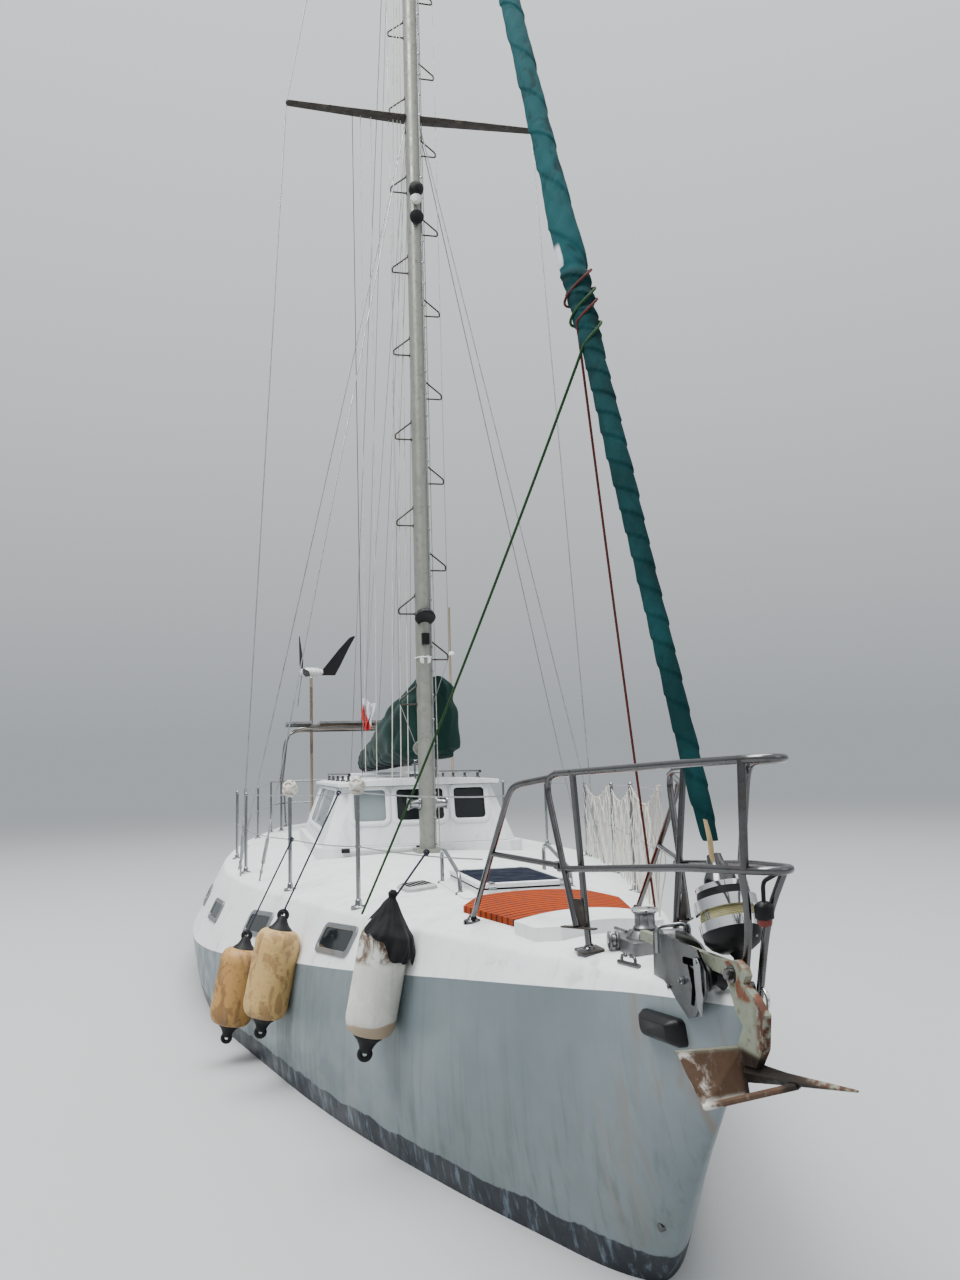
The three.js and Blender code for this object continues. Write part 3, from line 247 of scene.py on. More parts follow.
def tidy(mesh, near=1e-5):
    work = bmesh.new()
    work.from_mesh(mesh)
    bmesh.ops.remove_doubles(work, verts=work.verts, dist=near)
    bmesh.ops.dissolve_degenerate(work, edges=work.edges, dist=near / 10)
    bmesh.ops.recalc_face_normals(work, faces=work.faces)
    work.to_mesh(mesh)
    work.free()


def linked(name, mesh):
    piece = bpy.data.objects.new(name, mesh)
    bpy.context.scene.collection.objects.link(piece)
    return piece


def applied(piece):
    bpy.context.view_layer.update()
    mesh = bpy.data.meshes.new_from_object(piece.evaluated_get(bpy.context.evaluated_depsgraph_get()))
    piece.modifiers.clear()
    piece.data = mesh
    return piece


# Cuts other parts out of a piece, or keeps what they share.
def carve(piece, parts, keep=False):
    for k, part in enumerate(parts):
        tool = linked(f"tool_{k}", meshFrom(f"tool_{k}", part if isinstance(part, list) else [part]))
        step = piece.modifiers.new("carve", "BOOLEAN")
        step.object, step.solver, step.operation = tool, "EXACT", "INTERSECT" if keep else "DIFFERENCE"
        applied(piece)
        bpy.data.objects.remove(tool)
    return piece


# Finishes a piece: materials, shading, edges and its place on the frame.
def settle(piece, finish, body="yacht", instead=(), slot=None, bevel=0, sharp=35, rounds=0):
    mesh = piece.data
    mesh.materials.clear()
    for each in finish if isinstance(finish, (list, tuple)) else [finish]:
        mesh.materials.append(each)
    mesh.shade_smooth()
    mesh.set_sharp_from_angle(angle=math.radians(sharp))
    if bevel:
        edge = piece.modifiers.new("edges", "BEVEL")
        edge.width, edge.segments, edge.limit_method = bevel, 2, "ANGLE"
        edge.angle_limit, edge.harden_normals = math.radians(sharp), True
    if rounds:
        soft = piece.modifiers.new("rounds", "SUBSURF")
        soft.levels = soft.render_levels = rounds
    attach(piece, body)
    if instead:
        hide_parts(*([instead] if isinstance(instead, str) else instead))
    return piece


def place(name, parts, finish, **how):
    return settle(linked(name, meshFrom(name, parts)), finish, **how)


# A copy of a CAD node with its flat faces whole and its edges eased, shown in the node's stead.
def refined(node, finish, body="yacht", bevel=0.004, sharp=30, slot=None, name=None):
    piece = linked(name or node + "_eased", nodes[node].data.copy())
    work = bmesh.new()
    work.from_mesh(piece.data)
    bmesh.ops.remove_doubles(work, verts=work.verts, dist=1e-5)
    bmesh.ops.dissolve_limit(work, angle_limit=math.radians(0.6), verts=work.verts, edges=work.edges)
    work.to_mesh(piece.data)
    work.free()
    return settle(piece, finish, body=body, instead=node, slot=slot, bevel=bevel, sharp=sharp)


# Finishes: noises and masks on Object coordinates
class Finish:
    def __init__(self, name, **sockets):
        self.material = bpy.data.materials.new(name)
        self.material.use_nodes = True
        self.tree = self.material.node_tree
        self.shader = next(n for n in self.tree.nodes if n.type == "BSDF_PRINCIPLED")
        self.place = self.node("TexCoord").outputs["Object"]
        self.axes = self.node("SeparateXYZ", self.place).outputs
        self.normal = None
        for key, value in sockets.items():
            self.shader.inputs[key.replace("_", " ")].default_value = value

    def node(self, kind, *values, **props):
        new = self.tree.nodes.new("ShaderNode" + kind)
        for key, value in props.items():
            setattr(new, key, value)
        for k, value in enumerate(values):
            if value is not None:
                self.plug(new.inputs[k], value)
        return new

    def plug(self, socket, value):
        if isinstance(value, bpy.types.NodeSocket):
            self.tree.links.new(value, socket)
        elif isinstance(value, tuple) and len(value) == 3 and socket.type == "RGBA":
            socket.default_value = (*value, 1)
        else:
            socket.default_value = value

    def stretched(self, scale):
        return self.node("Mapping", self.place, None, None, scale).outputs[0]

    def noise(self, scale, detail=3.0, rough=0.55, stretch=(1, 1, 1), warp=0.0):
        new = self.node("TexNoise")
        self.plug(new.inputs["Vector"], self.stretched(tuple(scale * s for s in stretch)))
        for key, value in (("Scale", 1.0), ("Detail", detail), ("Roughness", rough), ("Distortion", warp)):
            new.inputs[key].default_value = value
        return new.outputs[0]

    def waves(self, scale, axis):
        new = self.node("TexWave", bands_direction=axis)
        self.plug(new.inputs["Vector"], self.place)
        new.inputs["Scale"].default_value, new.inputs["Distortion"].default_value = scale, 0.0
        return new.outputs["Fac"]

    def ramp(self, value, low, high, start=0.0, end=1.0):
        new = self.node("MapRange", value, low, high, start, end, interpolation_type="SMOOTHSTEP")
        return new.outputs[0]

    def math(self, operation, a, b=0.0):
        return self.node("Math", a, b, operation=operation).outputs[0]

    def mix(self, amount, a, b):
        new = self.node("Mix", data_type="RGBA")
        self.plug(new.inputs[0], amount)
        self.plug(new.inputs[6], a)
        self.plug(new.inputs[7], b)
        return new.outputs[2]

    def bump(self, height, strength, distance):
        new = self.node("Bump")
        new.inputs["Strength"].default_value, new.inputs["Distance"].default_value = strength, distance
        self.plug(new.inputs["Height"], height)
        if self.normal:
            self.plug(new.inputs["Normal"], self.normal)
        self.normal = new.outputs[0]
        self.plug(self.shader.inputs["Normal"], self.normal)

    def show(self, colour=None, rough=None, metal=None):
        for key, value in (("Base Color", colour), ("Roughness", rough), ("Metallic", metal)):
            if value is not None:
                self.plug(self.shader.inputs[key], value)
        return self.material


# Paint over plastic or metal: two tones in soft clouds, dirt in patches, fine scratches in the gloss.
def wornPaint(name, colour, dirt, dirtAmount=0.35, rough=0.45, grain=220, grainDepth=0.0002, streak=0.3,
    gloss=0.4):
    f = Finish(name, Specular_IOR_Level=gloss)
    clouds = f.noise(1.6, 4)
    tone = f.mix(f.ramp(clouds, 0.35, 0.7), tuple(c * 0.93 for c in colour), colour)
    runs = f.ramp(f.noise(1.0, 4, stretch=(16, 16, 1.1)), 0.5, 0.78, 0, streak)
    tone = f.mix(runs, tone, dirt)
    patches = f.ramp(f.noise(7, 6, 0.65, warp=0.6), 0.56, 0.74, 0, dirtAmount)
    tone = f.mix(patches, tone, dirt)
    specks = f.ramp(f.noise(60, 3), 0.68, 0.76, 0, 0.35 * dirtAmount)
    tone = f.mix(specks, tone, tuple(c * 0.4 for c in dirt))
    f.bump(f.noise(grain, 2), 0.25, grainDepth)
    return f.show(tone, f.ramp(f.noise(11, 5), 0.3, 0.75, rough - 0.1, rough + 0.18))


# Metal with a brushed or polished face: gloss varies in patches, with a stain in the hollows of a noise.
def wornMetal(name, colour, stain, rough=0.3, stainAmount=0.5, metal=0.95, brush=(1, 1, 1), grain=90,
    relief=0.0002):
    f = Finish(name, Metallic=metal)
    marks = f.ramp(f.noise(18, 6, 0.65), 0.5, 0.72, 0, stainAmount)
    tone = f.mix(marks, f.mix(f.noise(3, 3), tuple(c * 0.86 for c in colour), colour), stain)
    f.bump(f.noise(grain, 3, stretch=brush), 0.1, relief)
    return f.show(tone, f.ramp(f.noise(12, 4), 0.3, 0.75, rough * 0.7, rough * 1.5))


# Cloth: a fine weave in two directions, creases from a stretched noise with painted shade in their hollows, and
# fading in broad patches.
def cloth(name, colour, faded, creases=(1, 1, 1), creaseScale=8, creaseDepth=0.006, weave=900, fading=0.5):
    f = Finish(name, Roughness=0.85, Specular_IOR_Level=0.2, Sheen_Weight=0.05, Sheen_Roughness=0.4)
    wide = f.ramp(f.noise(2.2, 5, 0.6), 0.35, 0.7, 0, fading)
    folds = f.noise(creaseScale, 4, 0.55, stretch=creases, warp=0.4)
    tone = f.mix(wide, colour, faded)
    # painted shade: the cloth is darkened where the crease noise is low, in the hollows of the creases
    tone = f.mix(f.ramp(folds, 0.3, 0.5, 0.45, 0), tone, tuple(c * 0.35 for c in colour))
    tone = f.mix(f.ramp(f.noise(38, 5, 0.7), 0.6, 0.78, 0, 0.3), tone,
        tuple(min(1, c * 1.5 + 0.01) for c in faded))
    f.bump(folds, 0.7, creaseDepth)
    threads = f.math("MULTIPLY", f.noise(weave, 1, stretch=(1, 1, 0.3)),
        f.noise(weave, 1, stretch=(0.3, 0.3, 1)))
    f.bump(threads, 0.35, 0.0006)
    return f.show(tone)


# Rope yarn: pale fibres with grime that follows the lay.
def yarn(name, colour, grime, amount=0.5):
    f = Finish(name, Roughness=0.92)
    dirty = f.ramp(f.noise(9, 5), 0.42, 0.7, 0, amount)
    tone = f.mix(dirty, colour, grime)
    tone = f.mix(f.ramp(f.noise(240, 2), 0.35, 0.6, 0.3, 0), tone, tuple(c * 0.4 for c in grime))
    f.bump(f.noise(500, 2), 0.5, 0.0008)
    return f.show(tone)


# Topsides: grey-white, set darker than the paint partly as painted shade for topsides in shade, with drip streaks, a
# streaked dark band over the water, slime below it.
def hullFinish():
    f = Finish("topsides", Specular_IOR_Level=0.45)
    # white and grey lie below the paint's own colour: partly the paint, partly painted shade for the shaded topsides
    white, grey, green = (0.185, 0.225, 0.242), (0.130, 0.163, 0.176), (0.070, 0.092, 0.088)
    tone = f.mix(f.ramp(f.noise(1.1, 4), 0.3, 0.7), grey, white)
    drips = f.noise(1.0, 5, 0.6, stretch=(22, 22, 0.9), warp=0.3)
    below = f.ramp(f.axes["Z"], 0.95, 0.1, 0.15, 1)
    tone = f.mix(f.math("MULTIPLY", f.ramp(drips, 0.47, 0.72, 0, 0.62), below), tone, green)
    bow = f.ramp(f.axes["X"], 4.9, 5.9, 0, 0.5)
    rust = f.ramp(f.noise(1.0, 4, stretch=(9, 9, 1.3), warp=0.8), 0.54, 0.7)
    tone = f.mix(f.math("MULTIPLY", bow, rust), tone, (0.20, 0.12, 0.06))
    grime = f.math("MULTIPLY", f.ramp(f.noise(14, 5), 0.45, 0.7, 0, 0.5), f.ramp(f.axes["Z"], 0.5, 0.12))
    tone = f.mix(grime, tone, (0.16, 0.19, 0.17))
    edge = f.math("ADD", f.axes["Z"], f.ramp(f.noise(5, 5), 0.3, 0.7, -0.012, 0.012))
    band = f.ramp(edge, bootTop["top"] + 0.004, bootTop["top"] - 0.004)
    scrapes = f.ramp(f.noise(1.0, 6, 0.7, stretch=(30, 30, 2.2)), 0.5, 0.7, 0, 0.55)
    navy = f.mix(scrapes, (0.006, 0.010, 0.018), (0.20, 0.27, 0.33))
    tone = f.mix(band, tone, navy)
    slime = f.mix(f.noise(6, 6), (0.010, 0.014, 0.014), (0.045, 0.055, 0.04))
    tone = f.mix(f.ramp(f.axes["Z"], 0.0, -0.04), tone, slime)
    f.bump(f.noise(160, 3), 0.2, 0.0004)
    f.bump(f.noise(1.3, 3), 0.35, 0.02)
    rough = f.ramp(f.noise(6, 5), 0.3, 0.7, 0.32, 0.58)
    return f.show(tone, rough)


bootTop = {"top": 0.12}
white, dirt = (0.76, 0.78, 0.78), (0.30, 0.27, 0.22)
hullPaint = hullFinish()
deckPaint = wornPaint("deck_paint", white, dirt, 0.45, 0.5, 260, 0.0006, 0.25)
cabinPaint = wornPaint("cabin_paint", (0.74, 0.77, 0.78), (0.34, 0.34, 0.32), 0.3, 0.42)
antifouling = wornPaint("antifouling", (0.02, 0.026, 0.028), (0.06, 0.08, 0.05), 0.6, 0.8, 40, 0.002)
polished = wornMetal("polished_steel", (0.30, 0.31, 0.32), (0.20, 0.16, 0.12), 0.16, 0.2, 1.0,
    relief=0.00003)
stainedSteel = wornMetal("stained_steel", (0.125, 0.125, 0.128), (0.065, 0.045, 0.03), 0.20, 0.4, 1.0,
    relief=0.00003)
mastAlloy = wornMetal("mast_alloy", (0.24, 0.245, 0.215), (0.11, 0.105, 0.085), 0.45, 0.5, 0.4, (8, 8, 1))
greyAlloy = wornMetal("grey_alloy", (0.30, 0.31, 0.32), (0.13, 0.13, 0.12), 0.40, 0.5, 0.85)
windlassAlloy = wornMetal("windlass_alloy", (0.20, 0.20, 0.205), (0.07, 0.07, 0.065), 0.35, 0.6, 0.9)
cheekSteel = wornMetal("cheek_steel", (0.13, 0.137, 0.145), (0.07, 0.06, 0.05), 0.20, 0.4, 1.0,
    relief=0.00004)
chrome = wornMetal("chrome", (0.72, 0.73, 0.74), (0.20, 0.17, 0.12), 0.10, 0.25, 1.0, relief=0.00002)
darkAlloy = wornMetal("dark_alloy", (0.035, 0.028, 0.024), (0.10, 0.08, 0.06), 0.5, 0.5, 0.3)
galvanised = wornMetal("galvanised", (0.34, 0.33, 0.29), (0.20, 0.10, 0.05), 0.62, 0.8, 0.5, grain=160)
bronze = wornMetal("bronze", (0.42, 0.30, 0.13), (0.10, 0.16, 0.11), 0.42, 0.6, 0.9)
wire = wornMetal("wire", (0.36, 0.37, 0.38), (0.16, 0.12, 0.09), 0.42, 0.5, 0.85, grain=600)
# near-black sheet laid where a slot or gap holds only shade: painted shade
gapShade = wornPaint("gap_shade", (0.003, 0.003, 0.003), (0.010, 0.010, 0.009), 0.3, 0.95, streak=0.1,
    gloss=0.0)
blackPlastic = wornPaint("black_plastic", (0.005, 0.005, 0.006), (0.03, 0.03, 0.027), 0.3, 0.42,
    streak=0.12, gloss=0.25)
rubber = wornPaint("rubber", (0.009, 0.009, 0.010), (0.05, 0.047, 0.042), 0.35, 0.6, streak=0.1, gloss=0.25)
tanPaint = wornPaint("tan_paint", (0.27, 0.215, 0.16), (0.11, 0.085, 0.06), 0.45, 0.6)
greyPlastic = wornPaint("grey_plastic", (0.40, 0.41, 0.41), (0.16, 0.15, 0.13), 0.5, 0.5)
whitePlastic = wornPaint("white_plastic", (0.70, 0.71, 0.70), (0.32, 0.30, 0.25), 0.35, 0.4)
coverCloth = cloth("cover_cloth", (0.0025, 0.020, 0.016), (0.006, 0.040, 0.032), (1, 1, 0.7), 7, 0.012)
brownCanvas = cloth("brown_canvas", (0.19, 0.13, 0.085), (0.30, 0.23, 0.16), (1, 1, 1), 6, 0.006)
blackCloth = cloth("black_cloth", (0.006, 0.006, 0.007), (0.02, 0.02, 0.021), (1, 1, 0.6), 16, 0.006)
tanWebbing = cloth("tan_webbing", (0.36, 0.25, 0.13), (0.48, 0.38, 0.24), (3, 3, 1), 30, 0.001)
whiteRope = yarn("white_rope", (0.62, 0.60, 0.54), (0.28, 0.26, 0.21))
greenRope = yarn("green_rope", (0.006, 0.050, 0.008), (0.02, 0.04, 0.015))
redRope = yarn("red_rope", (0.085, 0.008, 0.006), (0.06, 0.018, 0.014))
darkRope = yarn("dark_rope", (0.012, 0.016, 0.035), (0.03, 0.03, 0.03))


# Tinted glass: dark, smooth, with salt specks.
def tintedGlass(name, colour, haze):
    f = Finish(name, Specular_IOR_Level=0.35)
    salt = f.ramp(f.noise(45, 5, 0.7), 0.55, 0.8, 0, 0.25)
    return f.show(f.mix(salt, f.mix(f.noise(2, 3), colour, tuple(c * 1.6 for c in colour)), haze),
        f.ramp(f.noise(16, 4), 0.35, 0.7, 0.05, 0.16))


darkGlass = tintedGlass("dark_glass", (0.006, 0.008, 0.009), (0.07, 0.075, 0.07))
# a pale copy of the same tinted glass: painted light for the panes that get it
litGlass = tintedGlass("lit_glass", (0.16, 0.19, 0.20), (0.5, 0.52, 0.52))
redLens = tintedGlass("red_lens", (0.10, 0.012, 0.010), (0.25, 0.12, 0.10))
paneTint = wornPaint("pane_tint", (0.008, 0.011, 0.022), (0.03, 0.03, 0.035), 0.3, 0.6, streak=0.2,
    gloss=0.04)
print("finishes ready")

# Hull and deck
# x, deckHalf, deckZ, crown, kneeHalf, kneeZ, keelZ, bulge (mm), full
stations = np.array([
    (-6100, 1000, 965, 70, 1180, 590, 70, 20, 2.2), (-5600, 1110, 958, 85, 1310, 560, -60, 120, 2.3),
    (-5000, 1230, 951, 95, 1440, 525, -205, 190, 2.6), (-4000, 1390, 945, 105, 1630, 462, -400, -30, 3.0),
    (-3000, 1500, 942, 110, 1770, 422, -540, -117, 3.2),
    (-2000, 1570, 942, 112, 1850, 402, -640, -150, 3.2),
    (-1000, 1600, 944, 114, 1872, 400, -700, -132, 3.2), (0, 1562, 950, 118, 1812, 425, -720, -110, 3.2),
    (500, 1507, 951, 122, 1746, 450, -718, -60, 3.2), (1000, 1425, 953, 126, 1654, 486, -712, -10, 3.2),
    (1500, 1312, 958, 128, 1528, 530, -702, 45, 3.2), (2000, 1183, 964, 128, 1372, 590, -690, 95, 3.2),
    (2500, 1042, 972, 126, 1208, 642, -675, 150, 3.15), (3000, 902, 981, 120, 1047, 691, -652, 180, 3.1),
    (3500, 764, 993, 106, 888, 745, -625, 160, 3.05), (4000, 612, 1006, 86, 712, 806, -585, 115, 3.0),
    (4500, 440, 1021, 62, 515, 866, -515, 80, 2.75), (5000, 289, 1037, 40, 343, 928, -340, 10, 2.1),
    (5290, 214, 1047, 29, 252, 966, 0, 0, 1.9), (5500, 155, 1055, 21, 183, 995, 280, 0, 1.6),
    (5750, 92, 1064, 12, 106, 1022, 613, 0, 1.4), (5950, 48, 1072, 6, 53, 1042, 880, 0, 1.3),
    (6060, 28, 1078, 3, 30, 1055, 1027, 0, 1.3)]) / ([1000] * 8 + [1])
hullRows = np.unique(np.r_[np.linspace(-6.1, 4.4, 71), np.linspace(4.4, 6.06, 40), stations[:, 0]])


def stationAt(x):
    return curveThrough(stations[:, 0], stations, np.atleast_1d(np.asarray(x, float))).T


def deckHeight(x, y):
    _, half, z, crown = stationAt(x)[:4]
    return z + crown * (1 - np.minimum(1, np.abs(y) / half)**2)


# Section: y = (kneeHalf + bulge u) (1 - u^full)^(1 / (1.4 + 0.13 full)), z = kneeZ - depth u.
def hullSkin():
    x, _, _, _, kneeHalf, kneeZ, keelZ, bulge, full = (row[:, None] for row in stationAt(hullRows))
    u = 1 - (1 - np.linspace(0, 1, 36)[None, :])**1.7
    y = (kneeHalf + bulge * u) * np.maximum(0, 1 - u**full)**(1 / (1.4 + 0.13 * full))
    z = kneeZ - (kneeZ - keelZ) * u
    half = np.stack([x + 0 * y, y, z], -1)
    return skin(np.concatenate([half * (1, -1, 1), half[:, -2::-1]], axis=1))


# Deck: a flat slanted panel from the fold, a round edge, then z = deckZ + 3 mm + crown (1 - f^2).
def deckSkin(lift=0.0):
    x, deckHalf, deckZ, crown, kneeHalf, kneeZ = (row[:, None] for row in stationAt(hullRows)[:6])
    edge = np.minimum(0.026, deckHalf * 0.4)
    lean = (kneeHalf - deckHalf) / (deckZ - kneeZ)
    t = np.linspace(0, 1, 7)[None, :]
    low, high = (deckHalf + lean * edge, deckZ - edge), (deckHalf - edge, deckZ + 0.003)
    s = np.linspace(0, 1, 4)[None, :-1]
    f = 1 - np.linspace(0, 1, 13)[None, 1:]
    y = np.concatenate([kneeHalf + (low[0] - kneeHalf) * s,
        (1 - t)**2 * low[0] + 2 * t * (1 - t) * deckHalf + t**2 * high[0], high[0] * f], axis=1)
    z = np.concatenate([kneeZ + 0.0003 + (low[1] - kneeZ) * s,
        (1 - t)**2 * low[1] + 2 * t * (1 - t) * deckZ + t**2 * high[1], high[1] + crown * (1 - f**2)],
        axis=1) + lift
    half = np.stack([x + 0 * y, y, z], -1)
    return skin(np.concatenate([half * (1, -1, 1), half[:, -2::-1]], axis=1))


cabinWell = {"x": (-2.33, 0.25), "y": (-0.56, 0.56)}
cockpit = {"x": (-5.25, -2.75), "y": (-0.52, 0.52), "sole": 0.64}
coaming = {"x": (-5.34, -2.72), "half": 0.605, "top": 1.19}
hatch = {"x": (2.95, 3.64), "y": (-0.20, 0.20), "depth": 0.56, "centre": 3.295, "rim": 1.12}
locker = {"x": (-4.15, -3.25), "y": (-1.08, -0.64), "ledge": 0.025, "lid": 0.03, "sole": 0.70}


# Hull: the hull skin less the cabin well and the hatch.
def makeHull():
    hull = linked("hull_shell", meshFrom("hull_shell", [hullSkin()]))
    carve(hull, [block(cabinWell["x"], cabinWell["y"], (-0.12, 1.2)),
        block(hatch["x"], hatch["y"], (hatch["depth"], 1.2))])
    return settle(hull, hullPaint, instead="hull", slot="hull_paint", sharp=28)


# Deck: the deck skin less the openings, with a flat-topped wall round the cockpit.
def makeDeck():
    deck = linked("deck_shell", meshFrom("deck_shell", [deckSkin()]))
    (xa, xf), lid = locker["x"], deckSkin(-locker["lid"])
    recess = linked("recess", meshFrom("recess", [block(locker["x"], locker["y"], (0.6, 1.4))]))
    carve(recess, [lid])
    carve(deck, [block(cabinWell["x"], cabinWell["y"], (0, 1.4)),
        block(cockpit["x"], cockpit["y"], (cockpit["sole"], 1.4)), block(hatch["x"], hatch["y"], (0, 1.4)),
        block((xa + 0.025, xf - 0.025), (-1.055, -0.665), (locker["sole"], 1.4))])
    step = deck.modifiers.new("recess", "BOOLEAN")
    step.object, step.solver = recess, "EXACT"
    applied(deck)
    bpy.data.objects.remove(recess)
    (aft, fore), half = coaming["x"], coaming["half"]
    wall = linked("cockpit_coaming", meshFrom("cockpit_coaming",
        [block((aft, fore), (-half, half), (0.96, coaming["top"]))]))
    carve(wall, [block((cockpit["x"][0], 0), cockpit["y"], (0, 1.4))])
    settle(wall, deckPaint, slot="deck_paint", bevel=0.016)
    return settle(deck, deckPaint, instead=("deck_fore", "deck_middle", "deck_aft"), slot="deck_paint",
        sharp=28)


makeHull()
makeDeck()
print("hull and deck ready")

# Pilothouse
cabin = {"aft": -2.5, "fore": 0.5, "foreTop": 0.36, "half": 0.8, "halfTop": 0.625, "floor": 1.13,
    "top": 1.6}
cabinWindows = {"front_centre": ((-0.205, 0.205), (1.31, 1.58)),
    "front_starboard": ((-0.555, -0.275), (1.31, 1.58)), "front_port": ((0.275, 0.555), (1.31, 1.58)),
    "side_starboard": ((-2.0, -0.06), (1.235, 1.575)), "side_port": ((-2.0, -0.06), (1.235, 1.575))}


# A round-cornered frame on a slanted face: the outline swept by a flat oval section.
def faceFrame(centre, across, up, width, height, corner=0.05, bar=0.018, depth=0.012):
    outline = roundedOutline(width, height, corner)
    path = onFace(outline, centre, across, up)
    return tube(path, bar, 12, looped=True, flat=depth / bar)


# Pilothouse: the CAD walls, roof and door with rounded edges, and a frame swept round the windows.
def makeCabin(c):
    for side in ("starboard", "port"):
        refined(f"cabin_side_{side}", cabinPaint, bevel=0.008, slot="deck_paint")
    for node, bevel in (("cabin_front", 0.010), ("cabin_aft", 0.008), ("cabin_skirt", 0.014),
        ("cabin_roof", 0.008)):
        refined(node, cabinPaint, bevel=bevel, slot="deck_paint")
    refined("slide_hatch", cabinPaint, body="slide_hatch", bevel=0.006, slot="deck_paint")
    refined("cabin_door", cabinPaint, body="cabin_door", bevel=0.004, slot="deck_paint")
    rise = c["top"] - c["floor"]
    frontUp = unit(np.array([c["foreTop"] - c["fore"], 0, rise]))
    frames = []
    for name, (span, (low, high)) in cabinWindows.items():
        f = ((low + high) / 2 - c["floor"]) / rise
        s = {"side_starboard": -1, "side_port": 1}.get(name, 0)
        if s:
            centre = (sum(span) / 2, s * (c["half"] + (c["halfTop"] - c["half"]) * f + 0.004),
                (low + high) / 2)
            across, up = np.array([1.0, 0, 0]), unit(np.array([0, s * (c["halfTop"] - c["half"]), rise]))
        else:
            centre = (c["fore"] + (c["foreTop"] - c["fore"]) * f + 0.004, sum(span) / 2, (low + high) / 2)
            across, up = np.array([0, 1.0, 0]), frontUp
        width, height = span[1] - span[0], (high - low) / up[2]
        frames.append(faceFrame(centre, across, up, width + 0.02, height + 0.02, 0.05, 0.022, 0.012))
    place("window_frames", frames, cabinPaint, slot="deck_paint")
    # the side panes and the front starboard pane take the pale copy of the glass, which is painted light
    for name in cabinWindows:
        pale = name.startswith("side") or name == "front_starboard"
        refined("glass_" + name, litGlass if pale else darkGlass, bevel=0.0015, slot="glass")
    # grab rails on the roof, feet every 0.6 m
    rails = []
    y = 0.56
    x = np.linspace(-2.1, 0.1, 5)
    rails.append(tube(smoothPath([(a, y, 1.70) for a in np.linspace(-2.2, 0.2, 7)], 0.05), 0.013, 12))
    rails += [turned((a, y, 1.64), (0, 0, 1), [(0, 0.022), (0.012, 0.02), (0.02, 0.012),
            (0.055, 0.012)], 16) for a in x]
    place("roof_rails", bothSides(rails), stainedSteel, slot="steel")
    # a white rail with black ends on the skirt, and eave strip round the roof
    eave = bentPath([(-2.56, 0.655, 1.607), (0.40, 0.655, 1.607), (0.40, -0.655, 1.607),
        (-2.56, -0.655, 1.607)], 0.06)
    place("roof_eave", [tube(eave, 0.011, 10)], rubber, slot="blade")
    steps = [tube(bentPath([(0.585, -0.62, 1.105), (0.585, -0.05, 1.105)], 0.02), 0.014, 12)]
    place("front_rail", steps, whitePlastic, slot="deck_paint")
    place("front_rail_ends", [turned((0.585, y, 1.105), (0, s, 0),
        [(-0.01, 0.018), (0.05, 0.018), (0.055, 0.012)], 16) for y, s in ((-0.61, -1), (-0.06, 1))], rubber,
        slot="blade")


makeCabin(cabin)
print("pilothouse ready")

# Rails round the deck
railing = {"radius": 0.0125, "topWire": 0.61, "lowWire": 0.32, "stanchions": [(3.15, 0.79), (1.95, 1.11), (0.5, 1.40),
    (-1.0, 1.49), (-2.5, 1.43), (-3.9, 1.29)]}


def deckPoint(x, y, lift=0.0):
    return np.array([x, y, float(deckHeight(x, y)[0]) + lift])


# A foot plate with a welded socket: rows of distance and radius.
def foot(x, y, r=0.012, plate=0.042, tall=0.05):
    return turned(deckPoint(x, y, -0.012), (0, 0, 1),
        [(0, plate), (0.016, plate), (0.020, plate * 0.9), (0.024, r * 1.7), (tall, r * 1.45),
        (tall + 0.004, r * 1.1), (tall + 0.01, r)], 24)


# Stanchions as straight tubes, and wires with a sag of 4 t (1 - t) between them.
def makeLifelines(r):
    for side, name in ((-1, "starboard"), (1, "port")):
        posts, wires = [], []
        tops = [deckPoint(x, side * y) for x, y in r["stanchions"]]
        for p in tops:
            posts += [foot(p[0], p[1]), tube(p + [[0, 0, 0.0], [0, 0, 0.3], [0, 0, 0.60]], r["radius"], 16)]
            posts.append(turned(p + (0, 0, 0.595), (0, 0, 1),
                [(0, 0.0125), (0.004, 0.0155), (0.016, 0.0155), (0.024, 0.009)], 16))
            posts.append(turned(p + (0, -side * 0.016, r["lowWire"]), (0, side, 0),
                [(0, 0.006), (0.032, 0.006)], 10))
        for height, fore, aft in ((r["topWire"], (4.784, side * 0.372, 1.612), (-4.87, side * 1.12, 1.615)),
            (r["lowWire"], (4.5, side * 0.405, 1.345), (-4.87, side * 1.12, 1.31))):
            line = [np.array(fore)] + [p + (0, 0, height) for p in tops] + [np.array(aft)]
            for a, b in zip(line[:-1], line[1:]):
                t = np.linspace(0, 1, 12)[:, None]
                sag = np.array([0, 0, -0.012]) * 4 * t * (1 - t)
                wires.append(tube(a + (b - a) * t + sag, 0.0032, 8))
        place(f"stanchions_{name}", posts, polished, instead=f"lifelines_{name}", slot="steel")
        place(f"lifeline_wires_{name}", wires, wire, slot="wire")


pulpitForm = {"radius": 0.0125}


